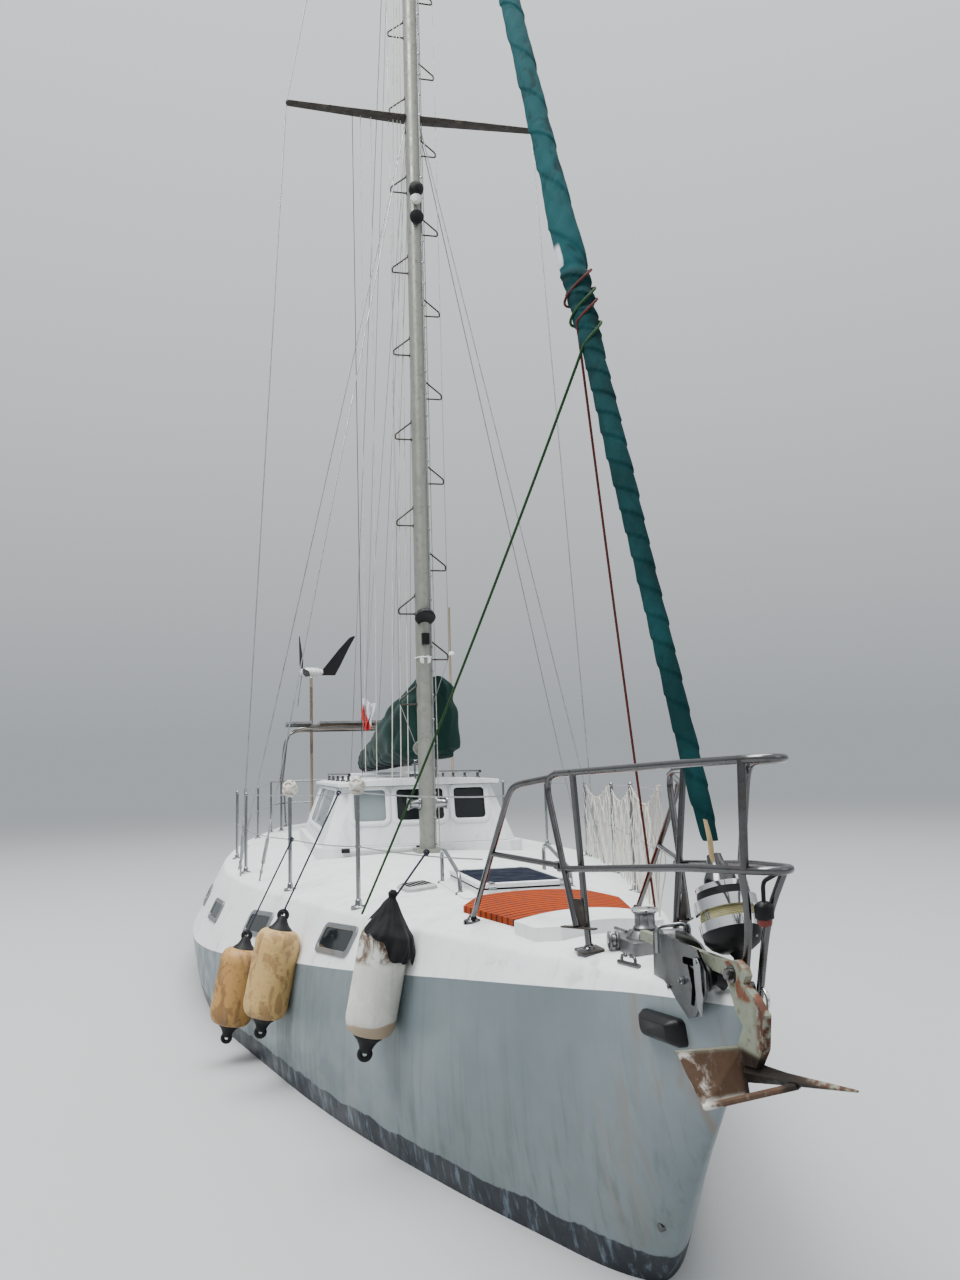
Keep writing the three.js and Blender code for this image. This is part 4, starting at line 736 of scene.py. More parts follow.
# Pulpit: rails and legs as straight runs with rounded corners, and collars and plates at their feet.
def makePulpit(p):
    r, d = p["radius"], (1, -1, 1)
    rail = [(5.0, -0.246, 1.682), (5.06, -0.238, 1.697), (5.9, -0.105, 1.722), (6.17, -0.072, 1.728),
        (6.225, -0.048, 1.73), (6.258, 0, 1.73), (6.225, 0.048, 1.73), (6.17, 0.072, 1.728),
        (5.94, 0.104, 1.722), (5.89, 0.108, 1.69), (5.81, 0.115, 1.425)]
    low = np.array([(5.04, 0.232, 1.345), (5.9, 0.105, 1.42), (6.15, 0.068, 1.434), (6.225, 0.048, 1.438)])
    tubes = [tube(bentPath(rail, 0.045), r, 20),
        tube(bentPath(np.vstack([low, [(6.258, 0, 1.438)], low[::-1] * d]), 0.04), r * 0.95, 20),
        tube(bentPath([(4.985, 0.248, 1.678), (5.06, 0.238, 1.697), (5.19, 0.216, 1.70)], 0.03), r, 20),
        tube(np.array([(6.18, -0.066, 1.436), (6.187, -0.065, 1.58), (6.195, -0.064, 1.728)]), r * 0.95,
        20)]
    for s in (1, -1):
        a = deckPoint(5.15, s * 0.165)
        tubes += [tube(np.array([a, (a + (5.19, s * 0.216, 1.70)) / 2, (5.19, s * 0.216, 1.70)]), r, 20),
            tube(bentPath([(5.165, s * 0.215, 1.155), (4.975, s * 0.25, 1.64), (5.0, s * 0.246, 1.684),
            (5.06, s * 0.238, 1.697)], 0.05), r, 20), tube(
            bentPath([deckPoint(4.2, s * 0.39), (4.8, s * 0.36, 1.612), (4.84, s * 0.345, 1.655),
            (4.99, s * 0.248, 1.68)], 0.05), r, 20), tube(
            np.linspace((4.54, s * 0.373, 1.37), (5.04, s * 0.24, 1.36), 3), r * 0.9, 20),
            tube(bentPath([(6.046, s * 0.024, 1.07), (6.115, s * 0.026, 1.3), (6.16, s * 0.066, 1.436)],
            0.12, 10), 0.011, 20), foot(5.15, s * 0.165, 0.014, 0.046, 0.03),
            foot(4.2, s * 0.39, 0.014, 0.04, 0.03)]
    # welded collars where the rails meet the posts
    for at, aim in (((5.19, -0.216, 1.70), (0.04, -0.05, 0.6)), ((5.04, -0.24, 1.36), (0.1, -0.05, 0.6))):
        tubes.append(turned(np.array(at) - unit(np.array(aim)) * 0.012, aim,
            [(0, 0.0135), (0.003, 0.0155), (0.021, 0.0155), (0.024, 0.0135)], 20))
    place("pulpit_tubes", tubes, stainedSteel, instead="pulpit", slot="steel")
    plates = []
    for s in (1, -1):
        plates.append(plate([(5.10, s * 0.238, 1.146), (5.21, s * 0.150, 1.146), (5.225, s * 0.172, 1.146),
            (5.115, s * 0.26, 1.146)], (0, 0, 0.006)))
        plates.append(plate([(5.16, s * 0.212, 1.153), (5.168, s * 0.176, 1.153), (5.174, s * 0.19, 1.25),
            (5.128, s * 0.223, 1.25)], (0.004, s * 0.004, 0)))
        base = deckPoint(5.15, s * 0.165)
        plates.append(plate(onFace(roundedOutline(0.11, 0.085, 0.01, 3), base + (0, 0, 0.003), (1, 0, 0),
            (0, 1, -0.1 * s)), (0, 0, 0.008)))
    place("pulpit_plates", plates, darkAlloy, bevel=0.0015, slot="blade")
    lamp = turned((6.15, 0, 1.300), (0, 0, 1), [(0, 0.020), (0.004, 0.0255), (0.034, 0.0265),
        (0.040, 0.024), (0.048, 0.012), (0.05, 0.005)], 32)
    place("bow_light", [lamp, tube(bentPath([(6.15, 0, 1.345), (6.152, 0, 1.40), (6.245, 0, 1.434)], 0.02),
        0.006, 12)], blackPlastic, slot="blade")
    lens = turned((6.15, 0, 1.281), (0, 0, 1), [(0, 0.010), (0.003, 0.018), (0.012, 0.0205),
        (0.0195, 0.0205)], 32)
    place("bow_light_lens", [lens], redLens, slot="glass")


# Pushpit: two rails as straight legs with rounded corners, on posts from the deck.
def makePushpit():
    s = railing["radius"]
    parts = []
    for z in (1.615, 1.31):
        parts.append(tube(bentPath([(-4.9, 1.12, z), (-5.9, 0.96, z), (-5.99, 0.88, z), (-5.99, 0.32, z)],
            0.09, 8), s, 16))
    for (x, y), (x2, y2) in (((-4.9, 1.12), (-4.9, 1.12)), ((-5.9, 0.9), (-5.94, 0.925)),
        ((-5.99, 0.32), (-5.99, 0.32))):
        a, b = deckPoint(x, y), np.array([x2, y2, 1.615])
        parts += [foot(x, y), tube(np.array([a, (a + b) / 2, b]), s, 16)]
    whole = bothSides(parts) + [tube(np.array([(-5.99, -0.32, 1.615), (-5.99, 0, 1.615),
        (-5.99, 0.32, 1.615)]), s, 16)]
    place("pushpit_tubes", whole, polished, instead="pushpit", slot="steel")


# How far the top wire stands off the centre line, from post to post.
def wireSide(x):
    return np.interp(x, [0.5, 1.95, 3.15, 4.5], [1.40, 1.11, 0.79, 0.405])


# Netting between the port deck edge and the top wire: two sets of slanted cords, x = x0 + h / 1.3, with a
# slack in each.
def makeNetting():
    h = np.linspace(0, 1, 14)
    cords = []
    for lean in (1, -1):
        for x0 in np.arange(0.55, 4.45, 0.085):
            x = np.clip(x0 + lean * 0.30 * h, 0.5, 4.5)
            y, bay = wireSide(x), np.abs(np.sin(np.pi * (x - 0.5) / 1.33))
            cords.append(tube(np.c_[x + 0.012 * np.sin(9 * h + 31 * x0),
                y + 0.010 * np.sin(7 * h + 17 * x0), deckHeight(x, y) + 0.015 + h * (0.585 - 0.10 * bay * h)], 0.0028,
                5))
    x = np.linspace(0.5, 4.5, 160)
    y = wireSide(x)
    edge = np.c_[x, y, deckHeight(x, y) + 0.60 - 0.10 * np.abs(np.sin(np.pi * (x - 0.5) / 1.33))]
    cords.append(tube(edge, 0.0032, 6))
    place("port_netting", cords, whiteRope, slot="fender")


# A cord wound into a ball on a stanchion: p = R (cos b sin c, sin b sin c, cos c) with b and c run at
# unlike speeds.
def makeKnobs():
    b = np.linspace(0, 34 * np.pi, 900)
    c = np.pi * (0.5 + 0.46 * np.sin(b * 0.377))
    balls = []
    for (x, y), r in zip(railing["stanchions"][:2], (0.040, 0.046)):
        ball = r * np.c_[np.cos(b) * np.sin(c), np.sin(b) * np.sin(c), 1.15 * np.cos(c)]
        balls.append(laidRope(deckPoint(x, -y, 0.645) + ball, 0.0062, 7))
        balls.append(turned(deckPoint(x, -y, 0.645), (0, 0, 1),
            [(-r * 1.05, 0.006), (-r * 0.7, r * 0.7), (0, r), (r * 0.7, r * 0.7), (r * 1.05, 0.006)], 20))
    place("rail_knobs", balls, whiteRope, slot="fender")


# A small flag hung from a halyard in still air: y and x swing in folds along its width, and its foot is
# drawn in.
def makeFlag():
    v, u = np.linspace(0, 1, 46)[:, None], np.linspace(0, 1, 70)[None, :]
    swing = 0.030 * np.sin(15 * u + 1.2 * v) * (0.5 + 0.5 * v)
    y = -0.495 + 0.115 * u * (1 - 0.45 * v) + 0.006 * np.sin(9 * v + 6 * u)
    x = 0.64 + swing + 0 * v
    z = 2.305 - 0.25 * v - 0.05 * u * (1 - v) + 0.01 * np.sin(8 * u)
    front = np.stack([x, y, z], -1)
    back = front + (0.0014, 0, 0)
    f = Finish("flag_cloth", Roughness=0.85, Specular_IOR_Level=0.2, Sheen_Weight=0.1)
    side = f.math("ADD", f.math("ADD", f.axes["Y"], 0.455),
        f.math("MULTIPLY", f.math("SUBTRACT", f.axes["Z"], 2.16), 0.32))
    tone = f.mix(f.ramp(side, 0.004, -0.004), (0.62, 0.62, 0.66), (0.55, 0.014, 0.014))
    weave = f.math("MULTIPLY", f.noise(900, 1), f.noise(700, 1))
    f.bump(weave, 0.3, 0.0004)
    tone = f.mix(f.ramp(f.noise(30, 4), 0.4, 0.7, 0, 0.25), tone, (0.20, 0.12, 0.12))
    flag = place("hung_flag", [skin(np.concatenate([front, back[:, ::-1]], axis=1))], f.show(tone),
        slot="canvas", sharp=80)
    line = np.linspace((float(mastX(7.3)), -0.52, 7.33), (0.64, -0.497, 1.7), 30)
    place("flag_halyard", [tube(line, 0.0028, 8)], darkRope, slot="blade")


makeLifelines(railing)
makePulpit(pulpitForm)
makePushpit()
makeNetting()
makeKnobs()
print("rails ready")

# Rig
mastForm = {"x": 0.75, "long": 0.092, "wide": 0.063, "foot": 1.09, "head": 13.15, "rake": 0.095,
    "firstSteps": ((-1, 2.246), (1, 2.608)), "steps": 13, "pitch": 0.735, "reach": 0.198, "brace": 0.155}


def mastX(z):
    return mastForm["x"] - mastForm["rake"] * (z - mastForm["foot"]) / (mastForm["head"] - mastForm["foot"])


# Mast section: a rounded oval, x = long sgn(cos)|cos|^0.9, y = wide sgn(sin)|sin|^0.9, with a sail track
# aft.
def makeMast(m):
    a = np.arange(64) / 64 * 2 * np.pi
    oval = np.c_[m["long"] * np.sign(np.cos(a)) * np.abs(np.cos(a))**0.9,
        m["wide"] * np.sign(np.sin(a)) * np.abs(np.sin(a))**0.9]
    z = np.r_[1.0, np.linspace(1.12, 12.4, 60), 13.0, 13.15]
    taper = np.interp(z, [1, 11.5, 13.15], [1, 1, 0.88])
    rings = np.stack([mastX(z)[:, None] + oval[None, :, 0] * taper[:, None],
        oval[None, :, 1] * taper[:, None], np.broadcast_to(z[:, None], (len(z), 64))], -1)
    parts = [skin(rings)]
    back = mastX(np.array([1.9, 12.9])) - m["long"] + 0.003
    track = np.array([(0, -0.012), (-0.02, -0.012), (-0.02, -0.004), (-0.008, -0.004), (-0.008, 0.004),
        (-0.02, 0.004), (-0.02, 0.012), (0, 0.012)])
    parts.append(skin(np.stack([np.c_[b + track[:, 0], track[:, 1], np.full(8, h)] for b,
        h in zip(back, (1.9, 12.9))])))
    parts.append(block((0.62, 0.88), (-0.095, 0.095), (1.02, 1.112)))
    crane = np.array([(0.56, 0, 13.1), (0.56, 0, 13.18), (0.79, 0, 13.18), (0.79, 0, 13.08),
        (0.70, 0, 13.0)])
    parts.append(plate(crane - (0, 0.022, 0), (0, 0.044, 0)))
    for h in (1.949, 1.861):
        parts.append(block((0.57, 0.69), (-0.02, 0.02), (h - 0.007, h + 0.007)))
    parts.append(turned((0.59, 0, 1.855), (0, 0, 1),
        [(0, 0.013), (0.006, 0.013), (0.007, 0.009), (0.093, 0.009), (0.094, 0.013), (0.1, 0.013)], 20))
    place("mast_tube", parts, mastAlloy, instead="mast", slot="alloy", sharp=40)
    steps = []
    for s, first in m["firstSteps"]:
        for k in range(m["steps"]):
            h = first + k * m["pitch"]
            x, root, out, brace = float(mastX(h)), s * 0.056, s * m["reach"], m["brace"]
            steps.append(tube(bentPath([(x, root, h), (x, out, h), (x, out, h + 0.04),
                (x, root, h + brace)], 0.014, 5), 0.0068, 10))
            for dz in (0, brace):
                steps.append(turned((x, s * 0.058, h + dz), (0, s, 0),
                    [(0, 0.016), (0.008, 0.016), (0.011, 0.009)], 12))
    place("mast_steps", steps, darkAlloy, slot="black_alloy")
    guards = []
    for s, first in m["firstSteps"]:
        zs = first + 0.02 + np.arange(m["steps"]) * m["pitch"]
        path = np.c_[mastX(zs), np.full(m["steps"], s * 0.206), zs]
        low = np.array([[mastX(first - 0.35), s * 0.07, first - 0.35]])
        high = np.array([[mastX(zs[-1] + 0.7), s * 0.07, zs[-1] + 0.7]])
        guards.append(tube(bentPath(np.vstack([low, path[:1], path[-1:], high]), 0.05, 5), 0.0028, 8))
    place("mast_guard_wires", guards, wire, slot="wire")


mastGear = {"upperLamp": 6.62, "lowerLamp": 2.98, "band": 2.62, "conduit": (1.15, 12.6), "winch": 1.46}


# Mast fittings: lights, a box, a winch each side and the conduit with its clips up the port face.
def makeMastFittings(m):
    dark, bright = [], []
    z = m["upperLamp"]
    x = float(mastX(z)) + 0.088
    dark.append(turned((x - 0.01, 0, z), (1, 0, 0),
        [(0, 0.05), (0.03, 0.062), (0.08, 0.062), (0.10, 0.05), (0.112, 0.02)], 28))
    bright.append(turned((x + 0.03, 0, z - 0.075), (0.4, 0, -1), [(0, 0.05), (0.02, 0.045), (0.05, 0.02)],
        28))
    dark.append(turned((x, 0, z - 0.24), (1, 0, -0.2),
        [(0, 0.03), (0.02, 0.055), (0.05, 0.06), (0.055, 0.05)], 28))
    z = m["lowerLamp"]
    x = float(mastX(z)) + 0.088
    dark.append(turned((x - 0.01, 0, z), (0.6, 0, -0.8),
        [(0, 0.03), (0.02, 0.075), (0.06, 0.085), (0.07, 0.075)], 28))
    dark.append(block((x - 0.01, x + 0.035), (-0.03, 0.03), (z - 0.26, z - 0.17)))
    bright.append(turned((x - 0.015, 0, 2.60), (1, 0, 0),
        [(0, 0.045), (0.012, 0.045), (0.014, 0.038), (0.02, 0.038)], 28))
    ring = np.linspace(0, 2 * np.pi, 40, endpoint=False)
    bright.append(tube(np.c_[mastX(m["band"]) + 0.098 * np.cos(ring), 0.070 * np.sin(ring),
        np.full(40, m["band"])], 0.006, 8, looped=True))
    place("mast_lamps", dark, blackPlastic, slot="blade")
    place("mast_lamp_lenses", bright, whitePlastic, slot="deck_paint")
    zs = np.linspace(*m["conduit"], 60)
    conduit = np.c_[mastX(zs) + 0.062, np.full(60, 0.052), zs]
    clips = [turned(p, (0.6, 1, 0), [(0, 0.011), (0.012, 0.011)], 10) for p in conduit]
    place("mast_conduit", [tube(conduit, 0.009, 12)] + clips, greyAlloy, slot="alloy")
    winches = []
    for s in (-1, 1):
        winches.append(turned((0.76, s * 0.058, m["winch"]), (0, s, 0),
            [(0, 0.055), (0.012, 0.055), (0.016, 0.036), (0.05, 0.032), (0.08, 0.04), (0.09, 0.05),
            (0.10, 0.05), (0.104, 0.03)], 32))
        winches.append(tube(bentPath([(0.70, s * 0.062, 1.80), (0.70, s * 0.085, 1.80),
            (0.70, s * 0.085, 1.66), (0.70, s * 0.062, 1.66)], 0.01), 0.008, 10))
    place("mast_winches", winches, polished, slot="steel")


# Spreaders: an oval whose half axes shrink in a straight line to the tip.
def makeSpreaders():
    for s, name in ((-1, "starboard"), (1, "port")):
        f = np.linspace(0, 1, 24)[:, None]
        a = np.arange(24) / 24 * 2 * np.pi
        half, thick, z = 0.065 + (0.04 - 0.065) * f, 0.022 + (0.013 - 0.022) * f, 7.35 + 0.025 * f
        y = s * (0.0633 + (1.07 - 0.0633) * f)
        rings = np.stack([mastX(7.35) + half * np.cos(a), y + 0 * a, z + thick * np.sin(a)], -1)
        tip = turned((mastX(7.35), s * 1.055, 7.375), (0, s, 0),
            [(0, 0.016), (0.004, 0.022), (0.022, 0.022), (0.028, 0.012)], 16)
        place(f"spreader_bar_{name}", [skin(rings), tip], darkAlloy, instead=f"spreader_{name}",
            slot="black_alloy")


# A wire with its bottlescrew: swage, barrel and fork at the foot.
def stay(a, b, radius=0.0045, mid=None):
    a, b = np.asarray(a, float), np.asarray(b, float)
    points = [a] + ([np.asarray(mid, float)] if mid is not None else []) + [b]
    leg = unit(points[-2] - b)
    parts = [tube(np.linspace(p, q, 24), radius, 10) for p, q in zip(points[:-1], points[1:])]
    rows = [(0.0, 0.007), (0.05, 0.007), (0.052, 0.011), (0.075, 0.011), (0.077, 0.0065), (0.12, 0.0065),
        (0.122, 0.0115), (0.135, 0.013), (0.29, 0.013), (0.303, 0.0115), (0.305, 0.0065), (0.35, 0.0065),
        (0.352, 0.009), (0.43, 0.009), (0.44, radius)]
    return parts + [turned(b, leg, rows, 16)]


# Shrouds, backstay, halyards and lifts: straight tubes from point to point.
def makeRigging():
    for s, name in ((-1, "starboard"), (1, "port")):
        x, foot620 = float(mastX(7.35)), deckPoint(0.62, s * 1.44)
        cap = stay((float(mastX(13.0)), s * 0.0678, 13.02), foot620, mid=(x, s * 1.0775, 7.375))
        plates = [plate([(0.59, s * 1.437, foot620[2] - 0.01), (0.65, s * 1.437, foot620[2] - 0.01),
            (0.64, s * 1.437, foot620[2] + 0.05), (0.60, s * 1.437, foot620[2] + 0.05)], (0, s * 0.006, 0))]
        place(f"cap_shroud_wire_{name}", cap + plates, wire, instead=f"cap_shroud_{name}", slot="wire")
        y, lower = s * 0.0723, []
        for dx, (fx, fy) in ((0.025, (1.2, 1.3)), (-0.025, (0.18, 1.46))):
            lower += stay((float(mastX(7.24)) + dx, y, 7.24), deckPoint(fx, s * fy))
        x = float(mastX(7.24))
        lower.append(plate([(x - 0.034, y - 0.004, 7.21), (x + 0.034, y - 0.004, 7.21),
            (x + 0.03, y - 0.004, 7.26), (x - 0.03, y - 0.004, 7.26)], (0, 0.008, 0)))
        place(f"lower_shroud_wires_{name}", lower, wire, instead=f"lower_shrouds_{name}", slot="wire")
    place("backstay_wire", stay((0.554, 0, 13.15), deckPoint(-6.02, 0)), wire, instead="backstay",
        slot="wire")
    # halyards and flag lines beside the mast, topping lift and lazy lines to the boom
    lines = []
    for y, top, low in ((-0.45, 7.33, 1.66), (-0.36, 7.33, 1.66)):
        lines.append(tube(np.linspace((float(mastX(top)), y, top), (0.62, y - 0.02, low), 12), 0.0035, 8))
    for y0, y1, top in ((-0.066, -0.27, 12.9), (-0.066, -0.20, 12.9), (-0.066, -0.14, 12.9),
        (0.066, 0.10, 12.9)):
        lines.append(tube(np.linspace((float(mastX(top)) + 0.03, y0, top),
            (0.72, y1, 1.66 if y1 < 0 else 1.12), 12), 0.0042, 8))
    place("halyards", lines, whiteRope, slot="fender")
    lifts = [tube(np.linspace((0.545, 0, 13.048), (-3.86, 0, 1.85), 20), 0.0035, 8)]
    for s in (-1, 1):
        for x in (-1.1, -2.6):
            lifts.append(tube(np.linspace((0.575, s * 0.012, 7.6), (x, s * 0.16, 2.05), 16), 0.0028, 8))
    place("topping_lift", lifts, wire, body="boom", slot="wire")
    # the plates on the mast that carry the upper ends: 4 mm over them, so that the lines turn with the boom
    place("mast_eyes", [block((0.525, 0.60), (-0.03, 0.03), (13.054, 13.064)),
        block((0.560, 0.63), (-0.02, 0.02), (7.606, 7.612))], greyAlloy, slot="alloy")


makeMast(mastForm)
makeFlag()
makeMastFittings(mastGear)
makeSpreaders()
makeRigging()
print("rig ready")

# Furled headsail
headsail = {"rows": [(1.49, 0.024), (1.62, 0.033), (2.5, 0.037), (2.8, 0.043), (3.35, 0.043), (3.7, 0.060),
    (4.0, 0.066), (4.5, 0.056), (6.0, 0.056), (8.0, 0.052), (10.0, 0.042), (11.6, 0.030), (12.1, 0.020)],
    "pitch": (0.105, 0.34), "change": 3.85, "lap": 0.13}


stayLine = {"foot": (6.02, 1.085), "head": (0.795, 13.13), "sag": 0.06}


# The forestay's x at a height: a straight line less sag f (1 - f).
def stayAt(z):
    (footX, footZ), (headX, headZ) = stayLine["foot"], stayLine["head"]
    f = (z - footZ) / (headZ - footZ)
    return footX + (headX - footX) * f - stayLine["sag"] * f * (1 - f)


# Rolled cloth: r = R(z) (1 + lap (e(w) - 0.5)), w = frac(a / 2 pi + turns(z)), where e steps up at w = 0
# and falls to 0 at 1.
def makeHeadsail(h):
    z = np.linspace(1.49, 12.1, 1300)
    radius = np.interp(z, *np.array(h["rows"]).T)
    a = np.arange(64) / 64 * 2 * np.pi
    low, high = h["pitch"]
    turns = np.minimum(z, h["change"]) / low + np.maximum(0, z - h["change"]) / high + 0.12 * np.sin(
        5.3 * z) + 0.07 * np.sin(12.1 * z)
    w = (a[None, :] / (2 * np.pi) + turns[:, None]) % 1.0
    edge = np.minimum(1, w / 0.06) * (1 - w)
    r = radius[:, None] * (1 + h["lap"] * (edge - 0.5))
    slack = np.interp(z, [3.6, 4.2], [0.4, 1.0])[:, None]
    r *= 1 + slack * (0.030 * np.sin(2 * a[None, :] + z[:, None] * 1.7) + 0.018
        * np.sin(3 * a[None, :] - z[:, None] * 2.9 + 1))
    r *= 1 + 0.014 * np.sin(5 * a[None, :] + z[:, None] * 23 + 2
        * np.sin(3.1 * z)[:, None]) + 0.012 * np.sin(4 * a[None, :] - z[:, None] * 47)
    for tie, deep in ((3.83, 0.10), (3.72, 0.14), (3.62, 0.14), (3.50, 0.10), (12.0, 0.2)):
        r *= 1 - deep * np.exp(-((z - tie) / 0.025)**2)[:, None]
    rings = np.stack([stayAt(z)[:, None] + r * np.cos(a), r * np.sin(a),
        np.broadcast_to(z[:, None], r.shape)], -1)
    place("headsail_roll", [skin(rings)], sailFinish(), instead="furled_headsail", slot="sail_cloth",
        sharp=50)
    place("forestay_rod", [tube(np.linspace((stayAt(12.1), 0, 12.1), (0.798, 0, 13.12), 12), 0.009, 12)],
        wire, instead="forestay", slot="wire")


# Rolled sail: the strip on its edge is darker below the ties than above them, with a pale corner between. The hollows
# of the creases carry painted shade.
def sailFinish():
    f = Finish("rolled_sail", Roughness=0.85, Specular_IOR_Level=0.1)
    z = f.math("ADD", f.axes["Z"], f.ramp(f.noise(4, 3), 0.3, 0.7, -0.04, 0.04))
    tone = f.mix(f.ramp(z, 3.81, 3.88), (0.0014, 0.021, 0.023), (0.005, 0.055, 0.062))
    tone = f.mix(f.ramp(f.noise(2.2, 5, 0.6), 0.4, 0.75, 0, 0.45), tone, (0.008, 0.075, 0.082))
    creases = f.noise(11, 4, 0.55, stretch=(1, 1, 0.5), warp=0.8)
    # painted shade: the cloth is darkened deeply where the crease noise is low, in the hollows of the creases
    tone = f.mix(f.ramp(creases, 0.25, 0.50, 0.8, 0), tone, (0.001, 0.012, 0.014))
    tone = f.mix(f.ramp(f.noise(38, 5, 0.7), 0.62, 0.8, 0, 0.2), tone, (0.03, 0.13, 0.13))
    patch = f.math("MULTIPLY", f.math("MULTIPLY", f.ramp(f.axes["Z"], 3.84, 3.85),
        f.ramp(f.axes["Z"], 3.985, 3.94)), f.ramp(f.axes["Y"], -0.050, -0.055))
    tone = f.mix(patch, tone, (0.50, 0.53, 0.56))
    f.bump(creases, 0.7, 0.007)
    threads = f.math("MULTIPLY", f.noise(900, 1, stretch=(1, 1, 0.3)),
        f.noise(900, 1, stretch=(0.3, 0.3, 1)))
    f.bump(threads, 0.3, 0.0005)
    return f.show(tone)


# Turns of line round the rolled sail: a helix that stays on the cloth.
def sailTurns(z0, z1, turns, lean=0.65):
    t = np.linspace(0, 1, int(turns * 28))
    a = (1 - t) * turns * 2 * np.pi - 1.0
    z = z0 + (z1 - z0) * t
    r = np.interp(z, *np.array(headsail["rows"]).T) + 0.004
    return np.c_[stayAt(z) + r * np.cos(a), r * np.sin(a), z + lean * r * np.sin(a)]


# Two lines: a helix on the sail, then a straight run with a sag of 4 t (1 - t).
def makeSheets():
    for name, rows, end, sag, radius, colour in (("green_sheet", (3.75, 3.433, 1.75),
        deckPoint(3.42, -0.80, 0.012), 0.05, 0.0065, greenRope),
        ("red_sheet", (3.845, 3.562, 1.75), deckPoint(4.35, 0.42, 0.03), 0.04, 0.006, redRope)):
        wound = sailTurns(*rows)
        t = np.linspace(0, 1, 40)[1:, None]
        run = wound[-1] + (end - wound[-1]) * t + np.array([0, 0, -sag]) * 4 * t * (1 - t)
        place(name, [laidRope(np.vstack([wound, run]), radius, 9)], colour, slot="fender")


makeHeadsail(headsail)
makeSheets()
print("headsail ready")

# Boom and sail cover
boomForm = {"fore": (0.54, 1.905), "aft": (-3.9, 1.80), "radius": 0.062}


def boomZ(x):
    (xf, zf), (xa, za) = boomForm["fore"], boomForm["aft"]
    return zf + (za - zf) * (xf - x) / (xf - xa)


# Cover: x, half breadth, height, drop and lean to port of its ridge, along the boom.
coverRows = np.array([(0.505, 0.150, 0.600, 0.030, 0.100), (0.400, 0.245, 0.600, 0.085, 0.105),
    (0.230, 0.262, 0.530, 0.100, 0.060), (0.0, 0.268, 0.460, 0.105, 0.020), (-0.3, 0.262, 0.400, 0.105, 0),
    (-1.0, 0.235, 0.290, 0.095, 0), (-2.0, 0.190, 0.230, 0.090, 0), (-3.0, 0.145, 0.180, 0.085, 0),
    (-3.7, 0.095, 0.130, 0.070, 0)])[::-1]


# Each ring is y = lean + half f, z = boom + g up or drop, drawn in by folds (sines of turn and x) and by
# the lashings.
def coverRings():
    x = np.r_[np.linspace(-3.7, 0.0, 150), np.linspace(0.02, 0.505, 70)]
    _, half, up, drop, lean = curveThrough(coverRows[:, 0], coverRows, x).T[:, :, None]
    side = np.array([(0, 1), (0.5, 0.96), (0.85, 0.75), (1, 0.45), (0.97, -0.1), (0.7, -0.85), (0, -1)])
    profile = curveThrough(np.arange(7), side, np.linspace(0, 6, 61))
    profile = np.vstack([profile, profile[-2:0:-1] * (-1, 1)])
    f, g = profile[None, :, 0], profile[None, :, 1]
    u = (np.arange(len(profile)) / len(profile) * 2 * np.pi)[None, :]
    x = x[:, None]
    near = np.interp(x, [-1.5, 0.2], [0.4, 1.0])
    folds = near * (0.016 * np.sin(6 * u + 5.0 * x + 1.5 * np.sin(3 * x)) * (0.6 + 0.4 * np.sin(4.1 * x))
        + 0.010 * np.sin(11 * u - 7.3 * x + 1) + 0.009 * np.sin(13 * x + 3 * np.cos(u)))
    lash = np.abs(((x + 3.5) / 0.62 + 0.5) % 1 - 0.5) * 0.62
    folds = folds - 0.020 * np.exp(-(lash / 0.05)**2) * (g < 0.3)
    shrink = 1 + folds / np.maximum(half, 0.10)
    y = np.interp(g, [-1, -0.85], [0.4, 1]) * lean + half * f * 0.97 * shrink
    z = boomZ(x) + np.where(g > 0, g * up, g * drop) * (1 + 0.4 * folds / np.maximum(up, 0.2))
    return np.stack([x + 0 * y + 0.3 * folds * (np.abs(x) < 0.45), y, z], -1)


# A thin closed sack: the outer rings and the same rings 2.5 mm inside, drawn together at both ends.
def makeCover():
    outer = coverRings()
    heart = outer.mean(axis=1, keepdims=True)
    ends = []
    for ring, middle, step in ((outer[0], heart[0], -0.012), (outer[-1], heart[-1], 0.006)):
        ends.append(np.stack([middle + (ring - middle) * k + (step * s, 0, 0) for k,
            s in ((0.9, 0.6), (0.6, 1), (0.3, 0.9), (0.04, 0.6))]))
    rows = np.concatenate([ends[0][::-1], outer, ends[1]])
    heart = rows.mean(axis=1, keepdims=True)
    inner = rows - unit(rows - heart) * 0.0025
    cover = place("cover", [skin(np.concatenate([rows, inner[::-1]]), looped=True)], coverCloth,
        body="boom", instead="sail_cover", slot="cover_cloth", sharp=70)
    # lashings under the foot of the cover, drawn round the boom
    lines = []
    for x in np.arange(-3.5, 0.2, 0.62):
        _, half, _, drop, _ = curveThrough(coverRows[:, 0], coverRows, [x])[0]
        t = np.linspace(-0.15, np.pi + 0.15, 24)
        lines.append(tube(np.c_[np.full(24, x), half * 0.86 * np.cos(t),
            boomZ(x) - drop * 0.5 - (drop * 0.62) * np.sin(t)], 0.004, 8))
    place("cover_lashings", lines, darkRope, body="boom", slot="blade")


